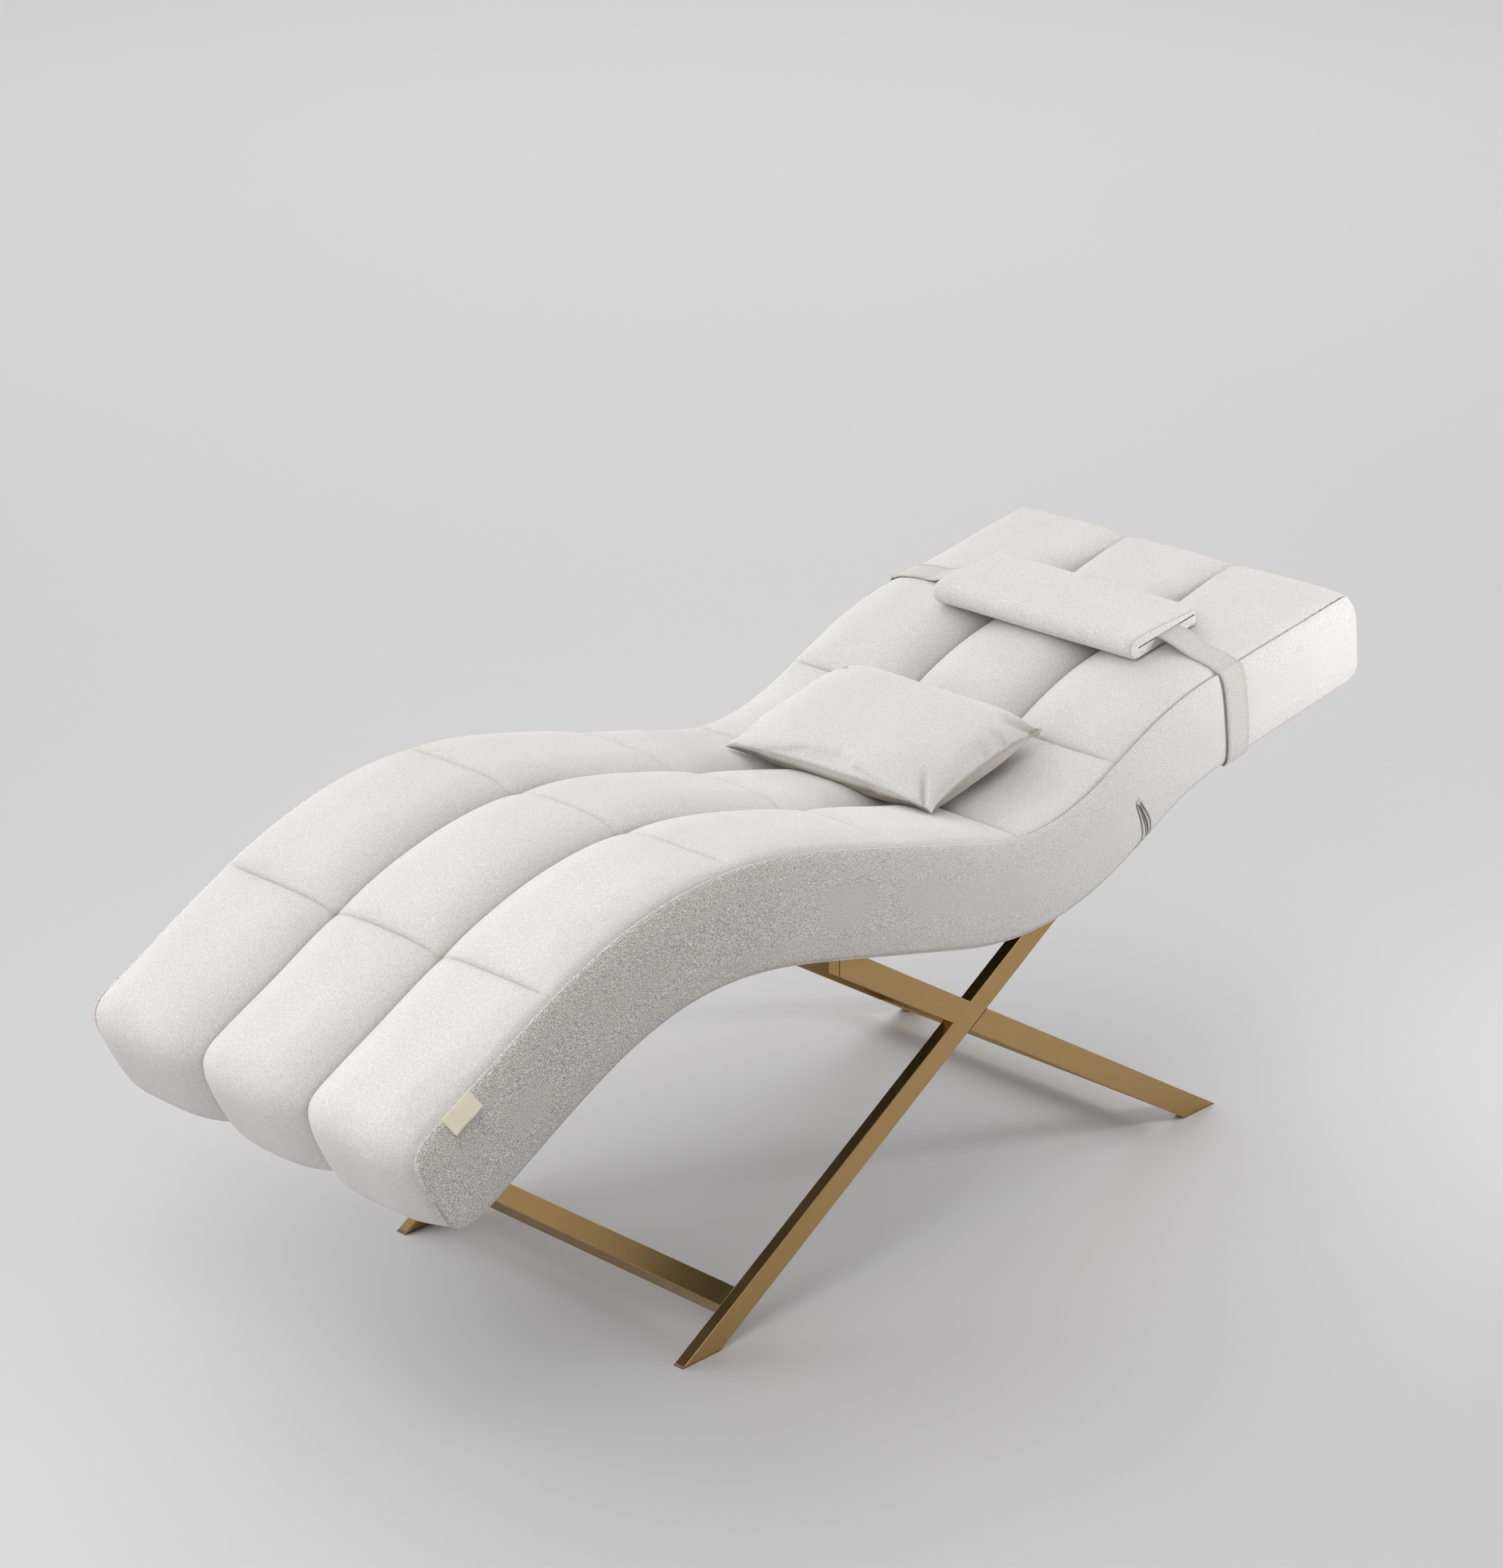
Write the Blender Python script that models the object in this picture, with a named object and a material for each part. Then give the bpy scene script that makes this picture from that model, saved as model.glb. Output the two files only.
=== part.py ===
# Eyelash extension bed: a padded couch with a reclining S-shaped profile and a
# quilted top, carried by two crossed pairs of brushed brass tubes. A loose pillow
# lies in the seat, and a folded head pad is held by a strap loop round the head end.
#
# Metres, +Z up. The client lies along X with the head at +X, so left is -Y.
# The origin is on the floor under the middle of the bed.
#
# Most of the cushion is written in bed coordinates: a distance s along the top seam
# from the foot end, a depth below that seam, and a place y across the bed.

import math

import bmesh
import bpy
from mathutils import Matrix, Vector
from mathutils.bvhtree import BVHTree

# Clearances
FIT = 0.0003                   # between pieces that touch
REST = 0.0005                  # under a loose piece
SLACK = 0.0010                 # strap loop round the bed

# Side profile of the top seam, foot to head: straight runs joined by smooth bends
LEG_REST_RUN = 0.160
LEG_REST_ANGLE = 29.0
KNEE_BEND = 0.700
SEAT_ANGLE = -14.6
SEAT_RUN = 0.215
HIP_BEND = 0.345
BACK_ANGLE = 26.4
BACK_RUN = 0.005
NECK_BEND = 0.250
HEAD_ANGLE = 8.7
HEAD_RUN = 0.275
SEAT_HEIGHT = 0.594            # lowest point of the top seam above the floor

# Cushion
CUSHION_WIDTH = 0.640
FOOT_DEPTH = 0.164             # seam to bottom edge at the foot end
HEAD_DEPTH = 0.1435            # the same at the head end
FOOT_NOSE = 0.031              # how far the rounded ends stand past the seam
HEAD_NOSE = 0.021
FOOT_TIP_DEPTH = 0.065         # depth of the foremost line of each end
HEAD_TIP_DEPTH = 0.080
FOOT_NOSE_TOP = 0.046          # length over which each end rounds off, above and below
FOOT_NOSE_BOTTOM = 0.080
HEAD_NOSE_TOP = 0.034
HEAD_NOSE_BOTTOM = 0.046
NOSE_ROUND = 2.2               # exponents of the ends' rounded outline
NOSE_FLAT = 2.9
NOSE_STEPS = 4

# Quilted cover
ROW_LENGTHS = (0.268, 0.340, 0.329, 0.250, 0.222)   # the last row takes the rest
COLUMNS = 3
CROWN = 0.013                  # tufts above the top seam
CHANNEL = 0.010                # seams between tufts below the top seam
QUILT_SINK = 0.016             # underside of the cover below the top seam
EDGE_DROP = 0.009              # tufts lower along the side panels by this much
EDGE_REACH = 0.060             # over this width
EDGE_LIFT = 0.8                # how much of a seam across the bed fills out there
TUFT_REACH = 0.115             # from a seam across the bed to the tuft's full height
CROWN_SHOULDER = 4.0           # higher is a flatter tuft with steeper sides
CROWN_EASE = 0.55
HEM_REACH = 0.050              # tufts flatten towards the hems of both ends
HEM_DROP = 0.5
ROW_STEPS = (5, 6, 6, 5, 5, 8)
COLUMN_STEPS = 6

# Side panels
PANEL_THICKNESS = 0.010
PANEL_BULGE = 0.008
PANEL_RINGS = ((0.76, 0.7), (0.34, 1.0))   # share of the depth, share of the bulge

# Padding and timber inside
FOAM_DEPTH = 0.070
END_PADDING = 0.034
DECK_THICKNESS = 0.012
RIB_THICKNESS = 0.018
BOARD_THICKNESS = 0.018
RAIL_WIDTH = 0.030
RAIL_HEIGHT = 0.045
RAIL_PLACES = (0.110, 0.420, 0.760, 1.070, 1.490, 1.800)
UNDERSIDE_RECESS = 0.0105      # side panels hang this far below the underside cloth
UNDERSIDE_THICKNESS = 0.0015

# Crossed legs
FRAME_INSET = 0.029            # outer faces of the legs inside the bed's sides
FRAME_CENTRE = 0.105           # crossing, ahead of the middle of the bed
FRAME_SPAN = 1.082             # between the middles of the feet
REAR_LEG_SEAT = 0.0346         # upper side meets the bracket, behind its middle
FRONT_LEG_SEAT = 0.0462
REAR_LEG_CUT = 0.0023          # upright cut on the rear legs' tops, behind that place
TUBE_DEPTH = 0.038
TUBE_THICKNESS = 0.019
TUBE_WALL = 0.002
TUBE_CORNER = 0.0015
CAP_THICKNESS = 0.002
STRETCHER_LENGTH_SIDE = 0.035  # section along the leg
STRETCHER_CROSS_SIDE = 0.032   # section across the leg
STRETCHER_PLACE = 0.095        # up the leg from its foot

# Floor glides
GLIDE_THICKNESS = 0.003
GLIDE_PLUG = 0.014
GLIDE_MARGIN = 0.0005

# Leg brackets, their blocks and fasteners
BRACKET_PLACES = (0.900, 1.275)   # rear leg tops, front leg tops
BRACKET_LENGTH = 0.100
BRACKET_WIDTH = 0.091
BRACKET_STEEL = 0.004
BRACKET_FLANGE = 0.020
BRACKET_RECESS = 0.006         # bracket face above the side panels' bottom edge
BLOCK_LENGTH = 0.106
BLOCK_HEIGHT = 0.050
BLOCK_INNER_EDGE = 0.004       # block past the bracket, towards the middle
WINDOW_MARGIN = 0.002          # gap in the underside cloth round each block
BOLT_RADIUS = 0.004
BOLT_HOLE_RADIUS = 0.0047
BOLT_HEAD_RADIUS = 0.0072
BOLT_HEAD_HEIGHT = 0.005
BOLT_SHANK = 0.046             # length under the head
BOLT_SPACING = 0.068
BOLT_LINE_INSET = 0.052        # from the bracket's outer edge
BOLT_SIDES = 8

# Label tab in the left seam
LABEL_PLACE = 0.071
LABEL_LENGTH = 0.053
LABEL_RISE = 0.003             # caught this far above the seam
LABEL_HOLD = 0.002             # it lies against the panel this far below the seam
LABEL_DROP = 0.023
LABEL_THICKNESS = 0.0012
LABEL_FLARE = 0.012            # how far its free edge stands off

# Loose pillow
PILLOW_WIDTH = 0.390
PILLOW_LENGTH = 0.262
PILLOW_PLACE_X = 0.205
PILLOW_PLACE_Y = -0.030
PILLOW_HEIGHT = 0.664          # middle of its edge seam above the floor
PILLOW_TILT = 14.0
PILLOW_SWELL = 0.050           # each face above the edge seam
PILLOW_PINCH = 0.055           # how far the sides draw in between the corners
PILLOW_ROUND = 2.4
PILLOW_EASE = 0.62
PILLOW_CLOTH = 0.0015
PILLOW_STEPS_X = 10
PILLOW_STEPS_Y = 14
PILLOW_REACH = 0.600           # search depth above and below the pillow

# Folded head pad and its strap
STRAP_PLACE = 1.672
STRAP_WIDTH = 0.048
STRAP_THICKNESS = 0.002
STRAP_LIFT = 0.0008            # strap above the tufts
STRAP_SAG = 0.0022             # strap under the side panels' bottom edges
STRAP_FALL = 0.025             # least run from the pad's end down to the tufts
STRAP_EASE_OUT = (0.0, 0.12, 0.42, 0.80)
STRAP_CORNER = 0.0015
PAD_FRONT = 0.095              # pad ahead of the strap's middle, and behind it
PAD_BACK = 0.062
PAD_WIDTH = 0.390
PAD_OFFSET = -0.018
PAD_LEAF = 0.018               # thickness of each folded leaf
PAD_FOLD = 0.020               # closed part at the rounded front
PAD_CORNER = 0.005
PAD_ROUND_STEPS = 6
FASTENER_LENGTH = 0.090
FASTENER_THICKNESS = 0.002
FASTENER_MARGIN = 0.002

PROFILE_STEP = 0.0025

# Values worked out from the driving sizes
FRAME_HALF = CUSHION_WIDTH / 2 - FRAME_INSET
LEG_INNER = FRAME_HALF - TUBE_THICKNESS
PANEL_INNER = CUSHION_WIDTH / 2 - PANEL_THICKNESS
FILL_HALF = PANEL_INNER - FIT
DECK_TOP = FOAM_DEPTH + FIT
DECK_BOTTOM = DECK_TOP + DECK_THICKNESS
RIB_INNER = FILL_HALF - RIB_THICKNESS


def clear_scene():
    for old in list(bpy.data.objects):
        bpy.data.objects.remove(old, do_unlink=True)


# Materials

def material(name, colour, roughness, metallic=0.0):
    finish = bpy.data.materials.new(name)
    finish.use_nodes = True
    shader = finish.node_tree.nodes["Principled BSDF"]
    shader.inputs["Base Color"].default_value = (*colour, 1.0)
    shader.inputs["Roughness"].default_value = roughness
    shader.inputs["Metallic"].default_value = metallic
    return finish


def make_materials():
    return {
        "upholstery": material("upholstery", (0.72, 0.71, 0.69), 0.90),
        "pad_fabric": material("pad_fabric", (0.78, 0.77, 0.75), 0.88),
        "label": material("label", (0.80, 0.74, 0.62), 0.85),
        "foam": material("foam", (0.75, 0.70, 0.52), 0.95),
        "filling": material("filling", (0.85, 0.85, 0.85), 0.95),
        "plywood": material("plywood", (0.58, 0.42, 0.26), 0.65),
        "timber": material("timber", (0.52, 0.36, 0.20), 0.65),
        "lining": material("lining", (0.06, 0.06, 0.06), 0.90),
        "brass": material("brass", (0.48, 0.36, 0.18), 0.32, 1.0),
        "steel": material("steel", (0.45, 0.45, 0.46), 0.40, 1.0),
        "glide": material("glide", (0.05, 0.05, 0.05), 0.60),
        "fastener": material("fastener", (0.70, 0.69, 0.67), 0.90),
    }


# Mesh helpers

def to_object(bm, name, finish, smooth=False):
    bmesh.ops.recalc_face_normals(bm, faces=bm.faces)
    mesh = bpy.data.meshes.new(name)
    bm.to_mesh(mesh)
    bm.free()
    mesh.materials.append(finish)
    if smooth:
        mesh.shade_smooth()
        mesh.set_sharp_from_angle(angle=math.radians(40))
    piece = bpy.data.objects.new(name, mesh)
    bpy.context.scene.collection.objects.link(piece)
    return piece


def sweep(bm, rings):
    """Extrude one face through a list of rings with matching corners."""
    mark = bm.verts.layers.int.get("corner") or bm.verts.layers.int.new("corner")
    start = [bm.verts.new(point) for point in rings[0]]
    for number, vert in enumerate(start):
        vert[mark] = number
    first = tip = bm.faces.new(start)
    for ring in rings[1:]:
        grown = bmesh.ops.extrude_face_region(bm, geom=[tip, *tip.edges])["geom"]
        tip = next(part for part in grown if isinstance(part, bmesh.types.BMFace))
        for vert in tip.verts:
            vert.co = ring[vert[mark]]
    return first, tip


def swept(name, rings, finish, smooth=False):
    bm = bmesh.new()
    sweep(bm, rings)
    return to_object(bm, name, finish, smooth)


def swept_loop(name, rings, finish, smooth=False):
    """A closed band: sweep round the rings, then join the last to the first."""
    bm = bmesh.new()
    first, tip = sweep(bm, rings)
    rims = list(first.edges) + list(tip.edges)
    bmesh.ops.delete(bm, geom=[first, tip], context="FACES_ONLY")
    bmesh.ops.bridge_loops(bm, edges=rims)
    return to_object(bm, name, finish, smooth)


def cut(piece, cutter):
    """Take the cutter's shape out of the piece."""
    cutter.hide_render = True
    cutter.display_type = "WIRE"
    change = piece.modifiers.new("cut", "BOOLEAN")
    change.operation = "DIFFERENCE"
    change.solver = "EXACT"
    change.object = cutter


def eased(count):
    """Shares from 0 to 1, closer together at both ends."""
    return [(1 - math.cos(math.pi * k / count)) / 2 for k in range(count + 1)]


# Side profile

def headings():
    """(length, heading) of each short step along the top seam."""
    steps = []
    current = LEG_REST_ANGLE
    stretches = (
        (0.0, LEG_REST_ANGLE, LEG_REST_RUN),
        (KNEE_BEND, SEAT_ANGLE, SEAT_RUN),
        (HIP_BEND, BACK_ANGLE, BACK_RUN),
        (NECK_BEND, HEAD_ANGLE, HEAD_RUN),
    )
    for bend, angle, run in stretches:
        count = round(bend / PROFILE_STEP)
        for k in range(count):
            share = (k + 0.5) / count
            blend = share * share * (3 - 2 * share)
            steps.append((bend / count, current + (angle - current) * blend))
        current = angle
        count = max(1, round(run / PROFILE_STEP))
        steps += [(run / count, angle)] * count
    return steps


def build_profile():
    """Distance, x, z and heading at each step of the seam, before it is placed."""
    table = []
    s = x = z = 0.0
    for length, angle in headings():
        heading = math.radians(angle)
        table.append((s, x, z, heading))
        s += length
        x += length * math.cos(heading)
        z += length * math.sin(heading)
    table.append((s, x, z, math.radians(HEAD_ANGLE)))
    return table


PROFILE = build_profile()
LENGTH = PROFILE[-1][0]
PROFILE_DROP = SEAT_HEIGHT - min(z for s, x, z, h in PROFILE if s > LEG_REST_RUN + KNEE_BEND)


def seam_at(s):
    """x, z and heading of the top seam at s, straight on past its ends."""
    if s <= 0 or s >= LENGTH:
        s0, x, z, heading = PROFILE[0] if s <= 0 else PROFILE[-1]
        ahead = s - s0
        return x + ahead * math.cos(heading), z + ahead * math.sin(heading), heading
    low, high = 0, len(PROFILE) - 1
    while high - low > 1:
        middle = (low + high) // 2
        if PROFILE[middle][0] <= s:
            low = middle
        else:
            high = middle
    s0, x0, z0, h0 = PROFILE[low]
    s1, x1, z1, h1 = PROFILE[high]
    share = (s - s0) / (s1 - s0)
    return x0 + (x1 - x0) * share, z0 + (z1 - z0) * share, h0 + (h1 - h0) * share


def depth_at(s):
    share = min(max(s / LENGTH, 0.0), 1.0)
    return FOOT_DEPTH + (HEAD_DEPTH - FOOT_DEPTH) * share


def nose(tip_s, facing, tip_depth, reach, full_depth, steps):
    """Rounded outline from an end's tip to where it joins the top or bottom line."""
    points = []
    for k in range(1, steps + 1):
        turn = math.pi / 2 * k / steps
        along = reach * (1 - max(math.cos(turn), 0.0) ** (2 / NOSE_ROUND))
        rise = math.sin(turn) ** (2 / NOSE_FLAT)
        points.append((tip_s + facing * along, tip_depth + (full_depth - tip_depth) * rise))
    return points


def row_seams():
    places = []
    total = 0.0
    for length in ROW_LENGTHS:
        total += length
        places.append(total)
    return places


def top_stations():
    """Places along the top seam shared by every curved layer, seams among them."""
    start = FOOT_NOSE_TOP - FOOT_NOSE
    end = LENGTH + HEAD_NOSE - HEAD_NOSE_TOP
    bounds = [start] + row_seams() + [end]
    places = [start]
    for low, high, count in zip(bounds, bounds[1:], ROW_STEPS):
        places += [low + (high - low) * share for share in eased(count)[1:]]
    return places


STATIONS = top_stations()
FOOT_TIP = (-FOOT_NOSE, FOOT_TIP_DEPTH)
HEAD_TIP = (LENGTH + HEAD_NOSE, HEAD_TIP_DEPTH)
FOOT_UPPER = nose(FOOT_TIP[0], 1, FOOT_TIP_DEPTH, FOOT_NOSE_TOP, 0.0, NOSE_STEPS)
HEAD_UPPER = nose(HEAD_TIP[0], -1, HEAD_TIP_DEPTH, HEAD_NOSE_TOP, 0.0, NOSE_STEPS)
FOOT_LOWER = nose(FOOT_TIP[0], 1, FOOT_TIP_DEPTH, FOOT_NOSE_BOTTOM,
                  depth_at(FOOT_NOSE_BOTTOM - FOOT_NOSE), NOSE_STEPS)
HEAD_LOWER = nose(HEAD_TIP[0], -1, HEAD_TIP_DEPTH, HEAD_NOSE_BOTTOM,
                  depth_at(LENGTH + HEAD_NOSE - HEAD_NOSE_BOTTOM), NOSE_STEPS)


def wrap_path():
    """(s, depth) of the cover's path: up the foot end, along the top, down the head end."""
    foot = list(reversed(FOOT_LOWER[:-1])) + [FOOT_TIP] + FOOT_UPPER[:-1]
    head = list(reversed(HEAD_UPPER[:-1])) + [HEAD_TIP] + HEAD_LOWER[:-1]
    return foot + [(s, 0.0) for s in STATIONS] + head


def side_outline():
    """Closed (s, depth) outline of a side panel."""
    bottom_start = HEAD_LOWER[-1][0]
    bottom_end = FOOT_LOWER[-1][0]
    inside = [s for s in STATIONS if bottom_end < s < bottom_start]
    bottom = [HEAD_LOWER[-1]] + [(s, depth_at(s)) for s in reversed(inside)] + [FOOT_LOWER[-1]]
    return wrap_path() + bottom


def between(start, end):
    """The shared stations between two places, with both places."""
    return [start] + [s for s in STATIONS if start < s < end] + [end]


def flat_place(s, depth):
    x, z, heading = seam_at(s)
    return x + math.sin(heading) * depth, z - math.cos(heading) * depth


def outward(path, index):
    """Unit (s, depth) normal of the wrap path at one of its points."""
    before = path[max(index - 1, 0)]
    after = path[min(index + 1, len(path) - 1)]
    along = Vector((after[0] - before[0], after[1] - before[1])).normalized()
    return along.y, -along.x


def moved_out(index, height):
    """(s, depth) of the wrap path's point, moved out by a height."""
    s, depth = WRAP[index]
    out_s, out_d = outward(WRAP, index)
    return s + out_s * height, depth + out_d * height


def tuft(distance, reach):
    """Share of a tuft's full height at a distance from its nearest seam."""
    share = min(distance / reach, 1.0)
    return (1 - (1 - share) ** CROWN_SHOULDER) ** CROWN_EASE


def row_rises(path):
    """Rise of the tufts at each point of the wrap path, from the seams and the hems."""
    runs = [0.0]
    for (s0, d0), (s1, d1) in zip(path, path[1:]):
        runs.append(runs[-1] + math.hypot(s1 - s0, d1 - d0))
    seams = [min(zip(path, runs), key=lambda pair: abs(pair[0][0] - place) + pair[0][1])[1]
             for place in row_seams()]
    rises = []
    for run in runs:
        hem = tuft(min(run, runs[-1] - run), HEM_REACH)
        rise = tuft(min(abs(run - seam) for seam in seams), TUFT_REACH)
        rises.append(rise * (1 - HEM_DROP * (1 - hem)))
    return rises


WRAP = wrap_path()
ROW_RISES = row_rises(WRAP)
COLUMN_WIDTH = 2 * FILL_HALF / COLUMNS


def column_places():
    """(y, rise from the channels, nearness to the edge) of each line along the cover."""
    lines = []
    for column in range(COLUMNS):
        for share in eased(COLUMN_STEPS)[1 if column else 0:]:
            y = -FILL_HALF + (column + share) * COLUMN_WIDTH
            channel = min(abs(abs(y) - COLUMN_WIDTH / 2), COLUMN_WIDTH / 2)
            edge = max(0.0, 1 - (FILL_HALF - abs(y)) / EDGE_REACH)
            lines.append((y, tuft(channel, COLUMN_WIDTH / 2), edge))
    return lines


def quilt_height(row_rise, column_rise, edge):
    """Height of the cover's surface above the top seam."""
    filled = row_rise + (1 - row_rise) * EDGE_LIFT * edge * edge
    return (CROWN + CHANNEL) * filled * column_rise - CHANNEL - EDGE_DROP * edge * edge


def cover_flat(index, height):
    """(x, z) of the wrap path's point, moved out by a height."""
    return flat_place(*moved_out(index, height))


def shift_to_middle():
    """Moves the bed so that the foot and head ends are equally far from the origin."""
    xs = [cover_flat(k, quilt_height(rise, 1.0, 0.0))[0] for k, rise in enumerate(ROW_RISES)]
    return -(min(xs) + max(xs)) / 2


SHIFT_X = shift_to_middle()


def place(s, depth, y):
    """World point of a place in bed coordinates."""
    x, z = flat_place(s, depth)
    return Vector((x + SHIFT_X, y, z + PROFILE_DROP))


# Cushion

def quilted_cover(finish):
    lines = column_places()
    bm = bmesh.new()
    row = bm.verts.layers.int.new("row")
    column = bm.verts.layers.int.new("column")
    lower = bm.verts.layers.int.new("lower")
    count_u, count_v = len(WRAP) - 1, len(lines) - 1
    bmesh.ops.create_grid(bm, x_segments=count_u, y_segments=count_v, size=0.5)
    for vert in bm.verts:
        vert[row] = round((vert.co.x + 0.5) * count_u)
        vert[column] = round((vert.co.y + 0.5) * count_v)
    skin = bmesh.ops.extrude_face_region(bm, geom=list(bm.faces))["geom"]
    for part in skin:
        if isinstance(part, bmesh.types.BMVert):
            part[lower] = 1
    for vert in bm.verts:
        k = vert[row]
        y, rise, edge = lines[vert[column]]
        height = quilt_height(ROW_RISES[k], rise, edge)
        if vert[lower]:
            height = FIT - QUILT_SINK
        x, z = cover_flat(k, height)
        vert.co = (x + SHIFT_X, y, z + PROFILE_DROP)
    flat = [edge for edge in bm.edges
            if all(v[lower] for v in edge.verts)
            and edge.verts[0][column] == edge.verts[1][column]
            and all(all(v[lower] for v in face.verts) for face in edge.link_faces)]
    bmesh.ops.dissolve_edges(bm, edges=flat, use_verts=True)
    return to_object(bm, "quilted_cover", finish, smooth=True)


def side_panel(name, side, finish):
    """Padded side band: flat inside, swelling outwards between its two seams."""
    outline = side_outline()
    half = CUSHION_WIDTH / 2
    rings = [[place(s, d, side * PANEL_INNER) for s, d in outline]]
    rings.append([place(s, d, side * half) for s, d in outline])
    for share, swell in PANEL_RINGS:
        ring = []
        for s, d in outline:
            reach = (1 - share) * depth_at(s) / 2
            along = min(max(s, -FOOT_NOSE + reach), LENGTH + HEAD_NOSE - reach)
            middle = depth_at(along) / 2
            ring.append(place(along, middle + (d - middle) * share,
                              side * (half + PANEL_BULGE * swell)))
        rings.append(ring)
    return swept(name, rings, finish, smooth=True)


def foam_core(finish):
    """Foam over the deck, wrapped down over both ends."""
    back_foot = END_PADDING
    back_head = LENGTH - END_PADDING
    under = [(s, FOAM_DEPTH) for s in reversed(between(back_foot, back_head))]
    top = [moved_out(k, -QUILT_SINK) for k in range(len(WRAP))]
    outline = top + [(back_head, top[-1][1])] + under + [(back_foot, top[0][1])]
    rings = [[place(s, d, y) for s, d in outline] for y in (-FILL_HALF, FILL_HALF)]
    return swept("foam_core", rings, finish)


def layer(name, start, end, top, bottom, low_y, high_y, finish):
    """A curved sheet or board that follows the profile between two depths."""
    rings = []
    for s in between(start, end):
        rings.append([place(s, top(s), low_y), place(s, top(s), high_y),
                      place(s, bottom(s), high_y), place(s, bottom(s), low_y)])
    return swept(name, rings, finish)


def timber_bottom(s):
    return depth_at(s) - UNDERSIDE_RECESS - UNDERSIDE_THICKNESS - FIT


def carcass(finishes):
    """Deck, ribs, end boards, cross rails and the cloth underneath."""
    start = END_PADDING + FIT
    end = LENGTH - END_PADDING - FIT
    top = lambda s: DECK_BOTTOM + FIT
    layer("deck_board", start, end, lambda s: DECK_TOP, lambda s: DECK_BOTTOM,
          -FILL_HALF, FILL_HALF, finishes["plywood"])
    layer("foot_end_board", start, start + BOARD_THICKNESS, top, timber_bottom,
          -FILL_HALF, FILL_HALF, finishes["plywood"])
    layer("head_end_board", end - BOARD_THICKNESS, end, top, timber_bottom,
          -FILL_HALF, FILL_HALF, finishes["plywood"])
    rib_start = start + BOARD_THICKNESS + FIT
    rib_end = end - BOARD_THICKNESS - FIT
    layer("left_rib", rib_start, rib_end, top, timber_bottom,
          -FILL_HALF, -RIB_INNER, finishes["plywood"])
    layer("right_rib", rib_start, rib_end, top, timber_bottom,
          RIB_INNER, FILL_HALF, finishes["plywood"])
    for number, s in enumerate(RAIL_PLACES, start=1):
        cross_rail(f"cross_rail_{number}", s, finishes["timber"])
    cloth = layer("underside_cloth", start, end,
                  lambda s: timber_bottom(s) + FIT,
                  lambda s: timber_bottom(s) + FIT + UNDERSIDE_THICKNESS,
                  -FILL_HALF, FILL_HALF, finishes["lining"])
    cut(cloth, cloth_windows(finishes["lining"]))


def local_frame(s, depth):
    """Matrix at a place in the bed: X along the profile, Y across, Z up out of it."""
    heading = seam_at(s)[2]
    return Matrix.Translation(place(s, depth, 0.0)) @ Matrix.Rotation(-heading, 4, "Y")


def block_rings(frame, length, low_y, high_y, low_z, high_z):
    corners = ((low_y, low_z), (high_y, low_z), (high_y, high_z), (low_y, high_z))
    return [[frame @ Vector((x, y, z)) for y, z in corners]
            for x in (-length / 2, length / 2)]


def cross_rail(name, s, finish):
    """Rail under the deck, in the middle of the flat facet of the deck nearest to s."""
    start = max(station for station in STATIONS if station <= s)
    end = min(station for station in STATIONS if station > s)
    a = place(start, DECK_BOTTOM + FIT, 0.0)
    b = place(end, DECK_BOTTOM + FIT, 0.0)
    turn = Matrix.Rotation(-math.atan2(b.z - a.z, b.x - a.x), 4, "Y")
    frame = Matrix.Translation((a + b) / 2) @ turn
    half = RIB_INNER - FIT
    rings = block_rings(frame, RAIL_WIDTH, -half, half, -RAIL_HEIGHT, 0.0)
    return swept(name, rings, finish)


def label_tab(finish):
    """Folded cotton tab caught in the left seam, its free edge standing off."""
    caught = CUSHION_WIDTH / 2 + FIT
    side = ((-LABEL_RISE, caught), (LABEL_HOLD, caught + LABEL_HOLD / 2),
            (LABEL_DROP, caught + LABEL_FLARE))
    rings = []
    for s in (LABEL_PLACE - LABEL_LENGTH / 2, LABEL_PLACE + LABEL_LENGTH / 2):
        inner = [place(s, depth, -y) for depth, y in side]
        outer = [place(s, depth, -y - LABEL_THICKNESS) for depth, y in reversed(side)]
        rings.append(inner + outer)
    return swept("label_tab", rings, finish)


# Crossed legs

def clip(polygon, point, normal):
    """Keep the part of a flat (x, z) polygon on the side that the normal leaves."""
    kept = []
    for a, b in zip(polygon, polygon[1:] + polygon[:1]):
        da = (a - point).dot(normal)
        db = (b - point).dot(normal)
        if da <= 0:
            kept.append(a)
        if da * db < 0:
            kept.append(a + (b - a) * (da / (da - db)))
    return kept


def leg_seat(which):
    """(x, z) where a leg's upper side reaches the underside of its bracket."""
    s = BRACKET_PLACES[0] if which == "rear" else BRACKET_PLACES[1]
    back = REAR_LEG_SEAT if which == "rear" else FRONT_LEG_SEAT
    seat = local_frame(s, depth_at(s) - BRACKET_RECESS) @ Vector((-back, 0.0, 0.0))
    return Vector((seat.x, seat.z))


def leg_axis(which):
    """A foot's middle on the floor and the leg's direction, in (x, z)."""
    facing = 1 if which == "front" else -1
    foot = Vector((FRAME_CENTRE - facing * FRAME_SPAN / 2, 0.0))
    reach = leg_seat(which) - foot
    slope = math.atan2(reach.y, facing * reach.x) - math.asin(TUBE_DEPTH / 2 / reach.length)
    return foot, Vector((facing * math.cos(slope), math.sin(slope)))


def leg_strip(which, half_depth):
    """A long (x, z) strip along a leg."""
    foot, along = leg_axis(which)
    across = Vector((-along.y, along.x))
    length = FRAME_SPAN * 2
    return [foot - along * length - across * half_depth,
            foot + along * length - across * half_depth,
            foot + along * length + across * half_depth,
            foot - along * length + across * half_depth]


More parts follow.
